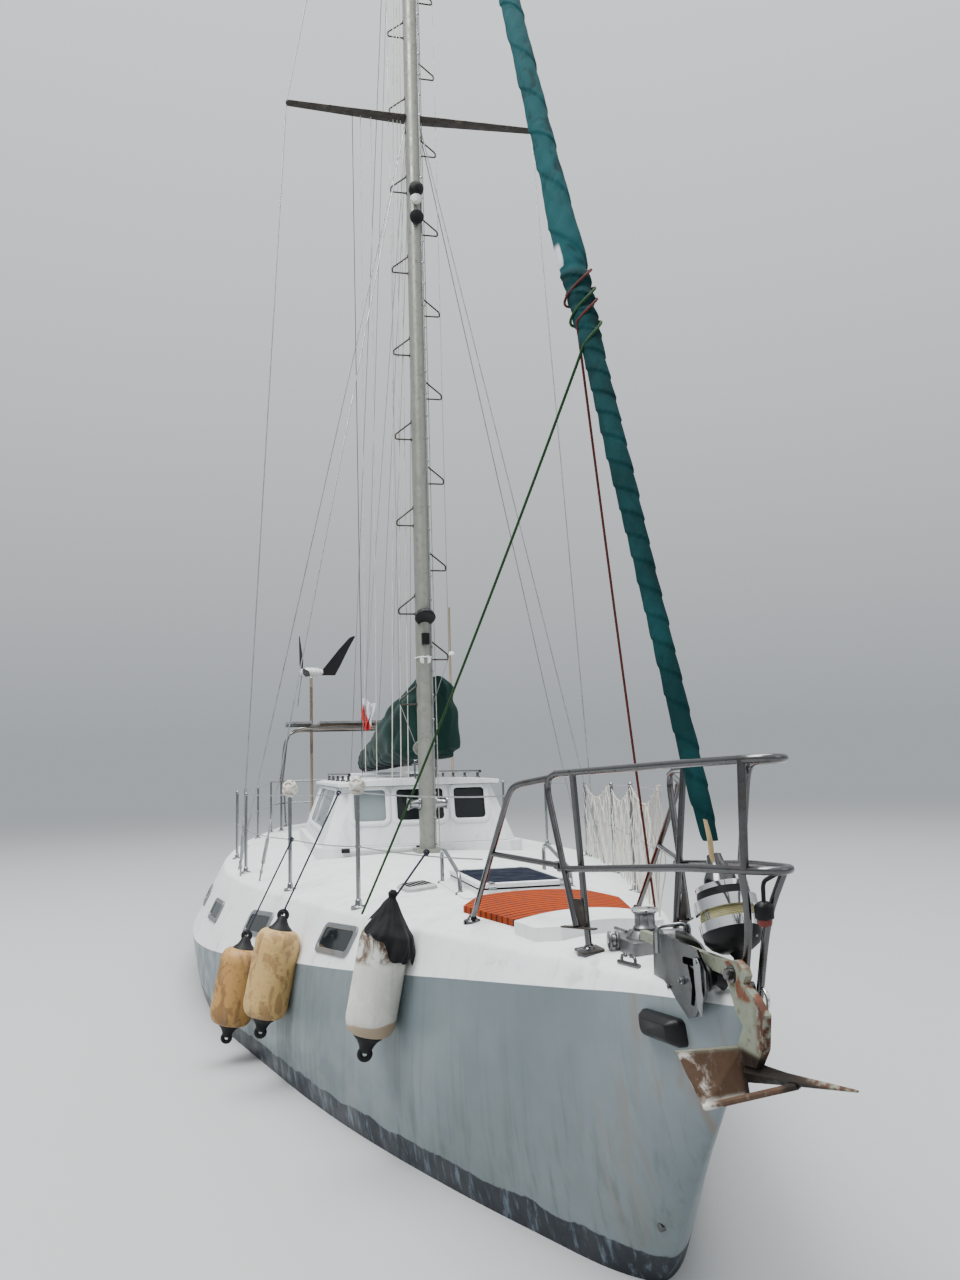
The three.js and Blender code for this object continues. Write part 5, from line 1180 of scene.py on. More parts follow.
# Boom: a turned tube along the line from fore to aft, with a bored nose.
def makeBoom():
    fore, aft = (np.array([x, 0, z]) for x, z in (boomForm["fore"], boomForm["aft"]))
    axis = unit(aft - fore)
    length = float(np.linalg.norm(aft - fore))
    rows = [(0, 0.058), (0.004, 0.062), (0.09, 0.062), (0.092, 0.0605), (length - 0.09, 0.055),
        (length - 0.088, 0.0565), (length - 0.004, 0.0565), (length, 0.052)]
    nose = linked("boom_tube", meshFrom("boom_tube",
        [block((0.51, 0.608), (-0.018, 0.018), (1.8683, 1.9417))]))
    carve(nose, [turned((0.59, 0, 1.84), (0, 0, 1), [(0, 0.0102), (0.13, 0.0102)], 24)])
    settle(nose, mastAlloy, body="boom", slot="alloy", bevel=0.002)
    nose.name = "boom_nose"
    place("boom_tube", [turned(fore, axis, rows, 40)], mastAlloy, body="boom", instead="boom", slot="alloy")
    ends = [turned(fore + axis * (length + 0.001), axis, [(0, 0.05), (0.006, 0.05), (0.008, 0.03)], 32),
        tube(bentPath([(-3.85, 0, 1.742), (-3.85, 0, 1.70), (-3.80, 0, 1.70), (-3.80, 0, 1.743)], 0.02),
        0.006, 10)]
    place("boom_end", ends, blackPlastic, body="boom", slot="blade")


makeCover()
makeBoom()
print("boom ready")

# Portlights in the slanted panel
portlights = {"centres": [3.21, 1.89, 0.57, -0.75], "share": 0.5, "width": 0.47, "height": 0.17,
    "corner": 0.045}


# The panel's own directions at x: along it, and up it from the fold to the deck edge.
def panelFrame(x, share, side):
    def at(x, f):
        _, deckHalf, deckZ, _, kneeHalf, kneeZ = (float(v[0]) for v in stationAt(x)[:6])
        return np.array([x, side * (kneeHalf + (deckHalf - kneeHalf) * f), kneeZ + (deckZ - kneeZ) * f])
    along = unit(at(x + 0.2, share) - at(x - 0.2, share))
    up = unit(at(x, share + 0.2) - at(x, share - 0.2))
    out = unit(np.cross(along, up)) * (-side if np.cross(along, up)[1] * side < 0 else 1)
    out = out if out[1] * side > 0 else -out
    return at(x, share), along, up, out


# A flat ring between two outlines, from one depth to another along a direction.
def ringPlate(outer, inner, push):
    push = np.asarray(push, float)
    return skin(np.stack([outer, outer + push, inner + push, inner]), looped=True)


# Portlights: a round-cornered ring and a plate in the panel's own directions.
def makePortlights(p):
    frames, panes = [], []
    for side in (-1, 1):
        for x in p["centres"]:
            centre, along, up, out = panelFrame(x, p["share"], side)
            paneOutline = lambda w, h, c, lift: onFace(roundedOutline(w, h, c, 8),
                centre + out * lift, along, up)
            w, h, c = p["width"], p["height"], p["corner"]
            frames.append(ringPlate(paneOutline(w, h, c, -0.006), paneOutline(w - 0.06, h - 0.06, c - 0.02, -0.006),
                out * 0.018))
            panes.append(plate(paneOutline(w - 0.05, h - 0.05, c - 0.02, -0.004), out * 0.009))
    place("portlight_frames", frames, greyAlloy, bevel=0.004, slot="alloy")
    place("portlight_panes", panes, darkGlass, slot="glass")


makePortlights(portlights)

# Foredeck
stepOutline = [(4.6, 0.30), (4.8, 0.27), (4.9, 0.19)]
stepOutline = stepOutline + [(x, -y) for x, y in stepOutline[::-1]]
padForm = {"edge": [(3.8, 0.27), (3.98, 0.385), (4.59, 0.25)], "pitch": 0.0527, "low": 0.0003,
    "high": 0.030, "groove": 0.007}


# Step: a prism between two lifts of the deck's own surface.
def makeStep():
    step = linked("deck_block", meshFrom("deck_block", [prism(stepOutline, 0.9, 1.4)]))
    carve(step, [deckSkin(0.052)], keep=True)
    carve(step, [deckSkin(0.0003)])
    settle(step, deckPaint, instead="foredeck_step", slot="deck_paint", bevel=0.012, sharp=32)


# Ribbed pad: z = deck + high - groove, rising between grooves as (1 - (2s - 1)^8), s running over each rib.
def makePad(p):
    aft, fore = p["edge"][0][0], p["edge"][-1][0]
    x = np.linspace(aft, fore, 15 * 16 + 1)
    half = np.interp(x, *np.array(p["edge"]).T)
    s = ((x - aft) / p["pitch"]) % 1.0
    rib = 1 - np.abs(2 * s - 1)**8
    f = np.linspace(-1, 1, 41)[None, :]
    y = half[:, None] * f
    base = deckHeight(np.repeat(x, 41), y.ravel()).reshape(y.shape)
    top = base + p["high"] - p["groove"] * (1 - rib)[:, None] * (np.abs(f) < 0.985)
    rings = np.concatenate([np.stack([x[:, None] + 0 * y, y, top], -1),
        np.stack([x[:, None] + 0 * y, y, base + p["low"]], -1)[:, ::-1]], axis=1)
    f = Finish("pad", Specular_IOR_Level=0.15)
    grain = f.noise(6, 5, 0.6, stretch=(1, 9, 1))
    tone = f.mix(f.ramp(grain, 0.3, 0.7), (0.205, 0.025, 0.0015), (0.32, 0.044, 0.0025))
    seam = f.math("ABSOLUTE", f.math("SUBTRACT", f.math("FRACT",
        f.math("DIVIDE", f.math("SUBTRACT", f.axes["X"], aft), p["pitch"])), 0.5))
    tone = f.mix(f.ramp(seam, 0.34, 0.42), tone, (0.030, 0.006, 0.002))
    tone = f.mix(f.ramp(f.noise(20, 5), 0.64, 0.8, 0, 0.2), tone, (0.22, 0.08, 0.03))
    f.bump(grain, 0.3, 0.001)
    place("ribbed_pad", [skin(rings)], f.show(tone, f.ramp(grain, 0.3, 0.7, 0.6, 0.85)),
        instead="foredeck_pad", slot="pad", sharp=60)


def outlineAt(x, y, width, length, corner, z):
    o = roundedOutline(length, width, corner, 8)
    return np.c_[o[:, 0] + x, o[:, 1] + y, np.full(len(o), z)]


# A ring that lies on the deck: both outlines follow the deck's height, from one lift to another.
def deckRing(outer, inner, low, high):
    rings = np.stack([outer, outer, inner, inner])
    rings[..., 2] = deckHeight(rings[..., 0].ravel(), rings[..., 1].ravel()).reshape(rings.shape[:2]) \
        + np.array([low, high, high, low])[:, None]
    return skin(rings, looped=True)


# Hatch: rings between round-cornered outlines, a pane domed as (1 - u^4)(1 - v^4), and bent tube rails.
def makeHatch(h):
    x, rim, frame, latches = h["centre"], h["rim"], [], []
    frame.append(ringPlate(outlineAt(x, 0, 0.49, 0.81, 0.05, 1.04), outlineAt(x, 0, 0.40, 0.71, 0.02, 1.04),
        (0, 0, rim - 1.04)))
    frame.append(deckRing(outlineAt(x, 0, 0.64, 0.86, 0.06, 1), outlineAt(x, 0, 0.47, 0.79, 0.05, 1),
        -0.004, 0.012))
    place("hatch_frame", frame, deckPaint, instead="hatch_coaming", slot="deck_paint", bevel=0.003)
    rails = []
    for s in (1, -1):
        y = s * 0.30
        rails += [tube(bentPath([deckPoint(2.99, y), (2.99, y, 1.27), (3.10, y, 1.272), (3.48, y, 1.18),
            deckPoint(3.50, y)], 0.04, 8), 0.011, 16), foot(2.99, y, 0.011, 0.028, 0.02),
            foot(3.50, y, 0.011, 0.028, 0.02)]
    for y in (-0.18, 0.19):
        rails.append(turned((3.718, y - 0.020, rim + 0.012), (0, 1, 0),
            [(0, 0.006), (0.002, 0.008), (0.038, 0.008), (0.040, 0.006)], 16))
    place("hatch_rails", rails, polished, slot="steel", bevel=0.001)
    gasket = ringPlate(outlineAt(x, 0, 0.488, 0.808, 0.05, rim + 0.0004),
        outlineAt(x, 0, 0.43, 0.75, 0.03, rim + 0.0004), (0, 0, 0.009))
    place("hatch_gasket", [gasket], rubber, body="fore_hatch", slot="blade")
    lid = [ringPlate(outlineAt(x, 0, 0.50, 0.82, 0.055, rim + 0.0094),
        outlineAt(x, 0, 0.42, 0.74, 0.035, rim + 0.0094), (0, 0, 0.0225))]
    place("hatch_rim", lid, cabinPaint, body="fore_hatch", slot="deck_paint", bevel=0.005)
    for y in (-0.18, 0.19):
        latches.append(plate(onFace(roundedOutline(0.05, 0.035, 0.008, 4), (3.682, y, rim + 0.031),
            (1, 0, 0), (0, 1, 0)), (0, 0, 0.004)))
        latches.append(turned((3.672, y, rim + 0.034), (0, 0, 1),
            [(0, 0.007), (0.003, 0.006), (0.004, 0.003)], 6))
    for y in (-0.16, 0.16):
        latches.append(turned((2.96, y, rim + 0.027), (0, 0, 1),
            [(0, 0.018), (0.004, 0.018), (0.006, 0.008)], 20))
    place("hatch_latches", latches, polished, body="fore_hatch", slot="steel", bevel=0.0008)
    g = np.linspace(-1, 1, 33)
    gx, gy = np.meshgrid(g, g, indexing="ij")
    top = np.stack([x + 0.372 * gx, 0.212 * gy, rim + 0.025 + 0.008 * (1 - gx**4) * (1 - gy**4)], -1)
    under = top * (1, 1, 0) + (0, 0, rim + 0.012)
    place("hatch_pane", [skin(np.concatenate([top, under[:, ::-1]], axis=1))], paneTint, body="fore_hatch",
        instead="hatch_lid", slot="glass")


# Deck vent: a raised grey plate with six slots along it, each a dark sheet on the plate as painted shade.
def makeVent():
    corner, ahead, across = np.array([2.872, -0.543]), np.array([0.270, 0.033]), np.array([0.044, 0.149])
    middle = corner + (ahead + across) / 2
    centre = deckPoint(middle[0], middle[1])
    along, over = unit(np.array([*ahead, 0.004])), unit(np.array([*across, 0.022]))
    up = unit(np.cross(along, over))
    outline = lambda w, h, c, u=0.0, lift=0.0: onFace(roundedOutline(w, h, c, 6),
        centre + up * lift + along * u, along, over)
    rim = skin(np.stack([outline(0.29, 0.17, 0.05, 0, -0.004), outline(0.29, 0.17, 0.05, 0, 0.016),
        outline(0.26, 0.14, 0.044, 0, 0.026)]))
    place("vent_plate", [rim], greyPlastic, slot="deck_paint", bevel=0.0015)
    slots = [onFace(roundedOutline(0.20, 0.0165, 0.007), centre + up * 0.0255 + over * (k - 2.5) * 0.0225,
        along, over) for k in range(6)]
    place("vent_slots", [plate(slot, up * 0.0012) for slot in slots], gapShade, slot="blade")


makeStep()
makePad(padForm)
makeHatch(hatch)
makeVent()
print("foredeck ready")

# Bow gear
gear = {"windlass": (5.28, 0.0), "rollerY": -0.062}


# Windlass: a round-cornered base, turned motor and drum, and ribs as short tubes round both.
def makeWindlass():
    x, y = gear["windlass"]
    parts = [plate(outlineAt(x - 0.0225, 0, 0.17, 0.235, 0.03, 1.06), (0, 0, 0.06)),
        turned((x, y, 1.12), (0, 0, 1), [(0, 0.068), (0.006, 0.066), (0.020, 0.058), (0.028, 0.051),
        (0.030, 0.03)], 40), turned((x - 0.06, -0.055, 1.105), (-0.15, -1, 0),
        [(0.02, 0.03), (0.026, 0.034), (0.032, 0.034), (0.036, 0.022), (0.046, 0.022), (0.050, 0.033),
        (0.058, 0.033), (0.062, 0.018)], 28), turned((x - 0.03, 0.06, 1.10), (0.1, 1, 0.05),
        [(0, 0.034), (0.02, 0.038), (0.09, 0.036), (0.105, 0.028), (0.11, 0.01)], 28),
        tube(bentPath([(5.03, -0.02, 1.118), (5.15, -0.02, 1.121)], 0.01), 0.007, 12)]
    for k in range(9):
        t = k * 2 * np.pi / 9
        parts.append(tube(np.array([(x + r * math.cos(t), r * math.sin(t), z)
            for r, z in ((0.064, 1.126), (0.060, 1.138), (0.052, 1.1475))]), 0.0035, 6))
    place("windlass_body", parts, windlassAlloy, instead="windlass_base", slot="alloy", bevel=0.0015)
    drum = [(0.0003, 0.040), (0.006, 0.042), (0.010, 0.039), (0.016, 0.0335), (0.034, 0.0322),
        (0.050, 0.0335), (0.055, 0.040), (0.059, 0.0455), (0.065, 0.0465), (0.0685, 0.042), (0.069, 0.018)]
    ribs = [tube(np.array([(x + r * math.cos(t), r * math.sin(t), z)
        for r, z in ((0.0335, 1.166), (0.0325, 1.185), (0.0335, 1.203))]), 0.003, 6)
        for t in np.arange(6) * np.pi / 3]
    place("windlass_capstan", [turned((x, y, 1.15), (0, 0, 1), drum, 40)] + ribs, windlassAlloy,
        body="windlass_drum", instead="windlass_drum", slot="alloy", sharp=50)
    cap = turned((x, y, 1.2120), (0, 0, 1), [(0, 0.0470), (0.002, 0.0485), (0.0075, 0.0485), (0.009, 0.046),
        (0.0092, 0.02)], 40)
    place("capstan_cap", [cap], chrome, body="windlass_drum", slot="alloy")


# Bow roller: the CAD channel, a turned wheel and flat plates on its starboard cheek.
def makeRoller():
    refined("bow_roller", cheekSteel, bevel=0.003, slot="steel")
    y = gear["rollerY"]
    rims = [turned((5.945, y - 0.030, 1.118), (0, 1, 0),
        [(0, 0.036), (0.006, 0.040), (0.016, 0.030), (0.030, 0.0235), (0.044, 0.030), (0.054, 0.040),
        (0.060, 0.036)], 32)]
    place("roller_wheel", rims, blackPlastic, slot="blade")
    face = y - 0.042
    # the slot and the gap in the cheek are dark sheets, painted shade
    slot = onFace(roundedOutline(0.075, 0.020, 0.008, 5), (5.872, face - 0.0005, 1.150), (1, 0, 0.05),
        (0, 0, 1))
    gap = np.array([(5.868, 1.140), (5.905, 1.132), (5.915, 1.085), (5.895, 1.030), (5.880, 1.030),
        (5.892, 1.085)])
    gap = np.c_[gap[:, 0], np.full(6, face - 0.0005), gap[:, 1]]
    place("roller_slot", [plate(slot, (0, -0.0015, 0)), plate(gap, (0, -0.0015, 0))], gapShade, slot="blade")
    arm = np.array([(5.918, 1.170), (5.945, 1.172), (5.962, 1.150), (5.966, 1.06), (5.952, 1.012),
        (5.930, 1.035), (5.922, 1.10)])
    arm = np.c_[arm[:, 0], np.full(len(arm), face - 0.001), arm[:, 1]]
    place("roller_arm", [plate(arm, (0, -0.006, 0))], polished, slot="steel", bevel=0.002)
    bolts = [turned((5.828, face - 0.001, 1.088), (0, -1, 0),
        [(0, 0.012), (0.007, 0.012), (0.008, 0.007), (0.015, 0.007)], 6),
        turned((5.940, face - 0.006, 1.160), (0, -1, 0), [(0, 0.006), (0.004, 0.006)], 6),
        turned((5.72, face - 0.001, 1.05), (0, -1, 0), [(0, 0.008), (0.005, 0.008)], 6),
        tube(bentPath([(5.64, face, 1.135), (5.64, face, 1.215), (5.66, y + 0.05, 1.222),
        (5.66, y + 0.05, 1.16)], 0.02), 0.0065, 14), plate(
        onFace(roundedOutline(0.05, 0.07, 0.015, 5), (5.66, y + 0.05, 1.19), (1, 0, 0), (0, 0, 1)),
        (0, 0.005, 0))]
    place("roller_bolts", bolts, polished, slot="steel")
    shackle = np.linspace(0, np.pi, 20)
    place("bow_shackle", [tube(np.c_[6.112 + 0.028 * np.sin(shackle), 0.0 + 0 * shackle,
        1.085 + 0.028 * np.cos(shackle)], 0.006, 12)], chrome, slot="steel")
    chock = [tube(bentPath([(5.40, -0.135, 1.066), (5.40, -0.135, 1.088), (5.425, -0.130, 1.096),
        (5.428, -0.130, 1.088)], 0.008), 0.0055, 12), tube(
        bentPath([(5.48, -0.118, 1.068), (5.48, -0.118, 1.090), (5.452, -0.122, 1.098),
        (5.449, -0.122, 1.090)], 0.008), 0.0055, 12), tube(
        np.array([(5.38, -0.139, 1.066), (5.44, -0.126, 1.067), (5.50, -0.113, 1.069)]), 0.008, 12)]
    place("open_chock", chock, stainedSteel, slot="steel")


# Black moulded fairlead on the side of the bow, a block with sloped faces.
def makeHawse():
    centre, out = np.array([5.70, -0.118, 0.925]), unit(np.array([0.25, -1, -0.12]))
    along = unit(np.cross(out, (0, 0, 1)))
    along = along if along[0] > 0 else -along
    up = np.cross(along, out)
    up = up if up[2] > 0 else -up
    rings = []
    for lift, w, h, c in ((-0.03, 0.19, 0.085, 0.02), (0.012, 0.19, 0.085, 0.02),
        (0.034, 0.165, 0.066, 0.018), (0.046, 0.13, 0.045, 0.014)):
        rings.append(onFace(roundedOutline(w, h, c, 6), centre + out * lift + up * lift * 0.2, along, up))
    place("side_fairlead", [skin(np.stack(rings))], blackPlastic, slot="blade", bevel=0.002)
    drain = turned((5.43, -0.052, 0.235), (0.35, -1, -0.1),
        [(-0.01, 0.014), (0.006, 0.014), (0.007, 0.008), (0.008, 0.007)], 20)
    place("skin_fitting", [drain], stainedSteel, slot="steel")


# Anchor: the CAD form with galvanising, rust by place and scraped paint low down, and painted shade, near black, on
# the low part of the far blade.
def makeAnchor():
    f = Finish("anchor_steel", Metallic=0.3, Specular_IOR_Level=0.3)
    x, y, z = (f.axes[k] for k in "XYZ")
    tone = f.mix(f.noise(9, 5, 0.6), (0.155, 0.175, 0.13), (0.30, 0.32, 0.25))
    spots = f.ramp(f.noise(30, 6, 0.7, warp=0.5), 0.54, 0.68, 0, 0.85)
    tone = f.mix(spots, tone, (0.09, 0.045, 0.025))
    head = f.math("MULTIPLY", f.ramp(x, 6.03, 6.06), f.ramp(z, 1.085, 1.10))
    tone = f.mix(f.math("MULTIPLY", head, f.ramp(f.noise(24, 5), 0.42, 0.58)), tone, (0.150, 0.055, 0.028))
    edge = f.math("MULTIPLY", f.ramp(x, 6.185, 6.225), f.ramp(f.noise(40, 4), 0.35, 0.55))
    tone = f.mix(edge, tone, (0.085, 0.035, 0.022))
    low = f.ramp(z, 0.975, 0.955)
    streaks = f.ramp(f.noise(1.0, 6, 0.72, stretch=(26, 12, 7), warp=0.5), 0.54, 0.66, 0, 0.9)
    scraped = f.math("MAXIMUM", f.math("MULTIPLY", streaks, f.ramp(y, -0.15, -0.21, 0.15, 1)),
        f.math("MULTIPLY", f.ramp(f.noise(22, 5), 0.4, 0.55), f.ramp(z, 0.865, 0.845)))
    blade = f.mix(f.noise(14, 5), (0.048, 0.028, 0.018), (0.120, 0.070, 0.042))
    tone = f.mix(low, tone, f.mix(scraped, blade, (0.60, 0.58, 0.52)))
    # painted shade: the low part of the far blade, beyond the roller's centre, is made near black
    farBladeShade = f.math("MULTIPLY", f.ramp(y, -0.085, -0.070), f.math("MULTIPLY", low, f.ramp(x, 6.10, 6.13)))
    tone = f.mix(farBladeShade, tone, f.mix(f.noise(30, 4), (0.008, 0.007, 0.006), (0.030, 0.022, 0.017)))
    f.bump(f.noise(90, 5), 0.4, 0.0012)
    refined("anchor", f.show(tone, f.ramp(f.noise(30, 4), 0.3, 0.7, 0.5, 0.85)), bevel=0.004,
        slot="galvanised")
    y = gear["rollerY"]
    bolt = [turned((6.085, y - 0.011, 1.152), (0, -1, 0),
        [(0, 0.024), (0.005, 0.024), (0.006, 0.016), (0.018, 0.016), (0.022, 0.012)], 24)]
    place("anchor_bolt", bolt, stainedSteel, slot="steel")


# Furler: turned rings on the stay's own line, distance along it and radius.
def makeFurlerDrum():
    base, aim = np.array([6.022, 0, 1.082]), unit(np.array([stayAt(1.48), 0, 1.48]) - (6.022, 0, 1.082))
    ring = lambda name, rows, finish, slot, **more: place(name, [turned(base, aim, rows, 56)], finish,
        slot=slot, **more)
    ring("furler_cup", [(-0.02, 0.012), (0.10, 0.014), (0.112, 0.022), (0.118, 0.048), (0.132, 0.070),
        (0.150, 0.084), (0.171, 0.0865)], blackPlastic, "blade", instead="furler_drum")
    rings = [[(0.170, 0.0855), (0.172, 0.089), (0.200, 0.089), (0.202, 0.0855)],
        [(0.228, 0.0865), (0.230, 0.092), (0.262, 0.092), (0.265, 0.0865)],
        [(0.286, 0.070), (0.288, 0.0785), (0.303, 0.0785), (0.305, 0.056)]]
    place("furler_rings", [turned(base, aim, rows, 56) for rows in rings], chrome, slot="drum")
    ring("furler_swivel", [(0.300, 0.052), (0.330, 0.047), (0.350, 0.036), (0.372, 0.033), (0.374, 0.026),
        (0.40, 0.022)], stainedSteel, "drum")
    ring("furler_line_turns", [(0.200, 0.076)] + [(0.202 + 0.0052 * (k // 2), 0.079 + 0.0024 * (k % 2))
        for k in range(10)] + [(0.229, 0.076)], furlingBand, "drum")
    ring("furler_collar", [(0.262, 0.072), (0.266, 0.079), (0.288, 0.077), (0.292, 0.060)], blackPlastic,
        "blade")
    posts = [tube(np.array([base + aim * 0.165 + np.array([0.078 * math.cos(t), 0.078 * math.sin(t), 0]),
        base + aim * 0.20 + np.array([0.080 * math.cos(t), 0.080 * math.sin(t), 0]),
        base + aim * 0.235 + np.array([0.082 * math.cos(t), 0.082 * math.sin(t), 0])]), 0.006, 10)
        for t in (-2.6, -1.2, 0.5, 2.0)]
    place("furler_posts", posts, polished, slot="drum")
    # toggle and shackle under the cup, tack webbing over it
    toggle = [turned((6.03, -0.016, 1.10), (0, 1, 0), [(0, 0.016), (0.032, 0.016)], 20),
        turned((6.022, 0, 1.07), (0, 0, 1), [(0, 0.014), (0.06, 0.012)], 16)]
    place("furler_toggle", toggle, stainedSteel, slot="steel")
    tack = np.array([(stayAt(1.56) + 0.03, -0.01, 1.55), (stayAt(1.5) + 0.035, -0.015, 1.49),
        (stayAt(1.46) + 0.03, -0.018, 1.45), (stayAt(1.42) + 0.02, -0.01, 1.42)])
    place("tack_strap", [tube(smoothPath(tack, 0.01), 0.014, 12, flat=0.25)], tanWebbing, slot="canvas")


furlingBand = wornPaint("furling_band", (0.42, 0.38, 0.20), (0.10, 0.09, 0.05), 0.7, 0.6, streak=0.5)
makeWindlass()
makeRoller()
makeHawse()
makeAnchor()
makeFurlerDrum()
print("bow gear ready")

# Fenders
fenderTies = {"bow": (3.98, 0.32), "middle": (2.86, 0.61), "aft": (1.99, 0.32)}  # x and height of the knot
fenderRows = [("bow", 4.06, 0.80, 0.114, 0.69), ("middle", 2.77, 0.62, 0.125, 0.69),
    ("aft", 2.17, 0.445, 0.130, 0.66)]


# Worn plastic: stains gather between two heights, and a tan band may lie at the foot.
def fenderFinish(name, colour, stain, amount, stained=(0, 9), band=None):
    f = Finish(name, Specular_IOR_Level=0.4)
    tone = f.mix(f.noise(5, 4), tuple(c * 0.86 for c in colour), colour)
    where = f.ramp(f.axes["Z"], stained[0], stained[1], 0.15, 1)
    patches = f.math("MULTIPLY", f.ramp(f.noise(9, 6, 0.65, stretch=(1, 1, 0.7), warp=1.1), 0.38 if band
        else 0.48, 0.56, 0, amount), where)
    tone = f.mix(patches, tone, stain)
    specks = f.math("MULTIPLY", f.ramp(f.noise(34, 5, 0.7), 0.56, 0.72, 0, amount), where)
    tone = f.mix(specks, tone, tuple(c * 0.5 for c in stain))
    tone = f.mix(f.ramp(f.noise(1.0, 4, stretch=(30, 30, 1.5)), 0.55, 0.75, 0, 0.4), tone,
        (0.30, 0.26, 0.18))
    if band:
        edge = f.math("ADD", f.axes["Z"], f.ramp(f.noise(7, 3), 0.3, 0.7, -0.008, 0.008))
        tone = f.mix(f.ramp(edge, band + 0.006, band - 0.006, 0, 0.85), tone, (0.30, 0.21, 0.12))
    f.bump(f.noise(30, 4), 0.3, 0.002)
    return f.show(tone, f.ramp(f.noise(20, 4), 0.3, 0.7, 0.42, 0.7))


# Round fender: a lathe form with domed shoulders r = R (0.62 + 0.38 sin t), and a black cone with a flat
# eye at both ends.
def makeFender(name, x, z, radius, length, finish):
    kneeHalf = float(stationAt(x)[4][0])
    centre, axis, half = np.array([x, -(kneeHalf + radius * 0.96), z]), unit(
        np.array([0, 0.2, 1])), length / 2
    t = np.linspace(0, np.pi / 2, 14)
    shoulder = np.c_[-half + 0.19 - 0.082 * np.cos(t), radius * (0.62 + 0.38 * np.sin(t))]
    body = np.vstack([[(-half + 0.100, 0.052)], [(-half + 0.102, 0.060)], shoulder])
    swell = np.linspace(-1, 1, 16)[1:-1]
    middle = np.c_[swell * (half - 0.19), radius * (1 - 0.012 * swell**2)]
    place(f"fender_{name}_body", [turned(centre, axis, np.vstack([body, middle, (body * (-1, 1))[::-1]]),
        56)], finish, instead=f"fender_{name}", slot="fender", sharp=50)
    caps = []
    for s in (-1, 1):
        end = centre + axis * s * (half - 0.112)
        caps.append(turned(end, axis * s, [(0, 0.064), (0.008, 0.068), (0.016, 0.062), (0.030, 0.046),
            (0.052, 0.033), (0.070, 0.027), (0.080, 0.020)], 36))
        eye = centre + axis * s * (half - 0.016)
        ring = np.linspace(0, 2 * np.pi, 28, endpoint=False)
        flat = np.cross(axis, (1.0, 0, 0)) * np.cos(ring)[:, None] + axis * np.sin(ring)[:, None]
        caps.append(tube(eye - axis * s * 0.010 + 0.0225 * flat, 0.0125, 12, looped=True))
    place(f"fender_{name}_ends", caps, rubber, slot="blade")
    return centre + axis * (half - 0.004)


# A rag tied at a fender's eye: rings r = R(drop) (1 + t^0.6 (0.13 + 0.06 sin(7a + 5t) + ...)), a thin
# shell whose hem hangs lower inboard.
def makeWrap(top):
    t, a = np.linspace(0, 1, 40)[:, None], (np.arange(120) / 120 * 2 * np.pi)[None, :]
    long = 0.215 + 0.090 * np.cos(a - 1.1) + 0.018 * np.sin(5 * a) + 0.010 * np.sin(11 * a)
    drop = 0.055 - long * t
    radius = np.interp(-drop, [-0.055, -0.04, -0.02, 0.0, 0.05, 0.10, 0.135, 0.19, 0.30],
        [0.012, 0.022, 0.016, 0.030, 0.056, 0.086, 0.112, 0.124, 0.125])
    folds = 1 + t**0.6 * (0.13 + 0.060 * np.sin(7 * a + 5 * t) + 0.040 * np.sin(13 * a - 4 * t + 1) + 0.025
        * np.sin(23 * a + 9 * t))
    lean = unit(np.array([0, 0.2, 1]))
    r = radius * folds
    away = np.cos(a + 0 * t)[..., None] * (1, 0, 0) + np.sin(a + 0 * t)[..., None] * np.cross(lean,
        (1, 0, 0))
    outer = top + drop[..., None] * lean + r[..., None] * away
    inner = outer - away * 0.002
    rag = place("fender_wrap", [skin(np.concatenate([outer, inner[::-1]]), looped=True)], blackCloth,
        slot="blade", sharp=80)


# The three fenders at their places, each hung from the rail on a laid rope.
def makeFenders():
    worn = {"bow": fenderFinish("fender_white", (0.66, 0.66, 0.60), (0.10, 0.055, 0.030), 0.95,
        (0.87, 0.90), 0.625), "middle": fenderFinish("fender_cream", (0.54, 0.355, 0.135),
        (0.20, 0.10, 0.04), 0.6, (-2, -1)), "aft": fenderFinish("fender_yellow", (0.44, 0.245, 0.075),
        (0.16, 0.08, 0.03), 0.7, (-2, -1))}
    lines = []
    for name, x, z, radius, length in fenderRows:
        top = makeFender(name, x, z, radius, length, worn[name])
        if name == "bow":
            makeWrap(top)
        tie, height = fenderTies[name]
        wireY = -float(wireSide(tie))
        rail = np.array([tie, wireY, float(deckHeight(tie, wireY)[0]) + height])
        lines.append(laidRope(np.linspace(top, rail, 20), 0.0055, 9))
        t = np.linspace(0, 1, 40)
        lines.append(laidRope(rail + np.c_[0.03 * t - 0.015, 0.010 * np.cos(t * 18),
            0.010 * np.sin(t * 18)], 0.005, 8))
        lines.append(laidRope(top + np.c_[0.012 * np.cos(t * 12), 0.010 * np.sin(t * 12), 0.012 - 0.03 * t],
            0.005, 8))
    place("fender_lanyards", lines, darkRope, slot="blade")


makeFenders()
print("fenders ready")

# Underwater: each section is y = 10 half (0.2969 sqrt f - 0.126 f - 0.3516 f^2 + 0.2843 f^3 - 0.1015 f^4),
# with f from the leading to the trailing edge.
def foilRings(rows, n=28):
    f = (1 - np.cos(np.linspace(0, np.pi, n))) / 2
    thick = 2.6 * (0.2969 * np.sqrt(f) - 0.126 * f - 0.3516 * f**2 + 0.2843 * f**3 - 0.1015 * f**4) / 0.26
    out = []
    for lead, trail, half, z in rows:
        side = np.c_[lead + (trail - lead) * f, half * thick, np.full(n, z)]
        out.append(np.vstack([side, side[-2:0:-1] * (1, -1, 1)]))
    return skin(np.stack(out))


# Rows set at even heights between the given ones, along straight lines.
def between(rows, count=16):
    rows = np.asarray(rows, float)
    knots = rows[:, -1]
    z = np.linspace(knots[0], knots[-1], count)
    return np.c_[[np.interp(z if knots[0] < knots[-1] else -z, knots if knots[0] < knots[-1] else -knots,
        rows[:, k]) for k in range(rows.shape[1])]].T


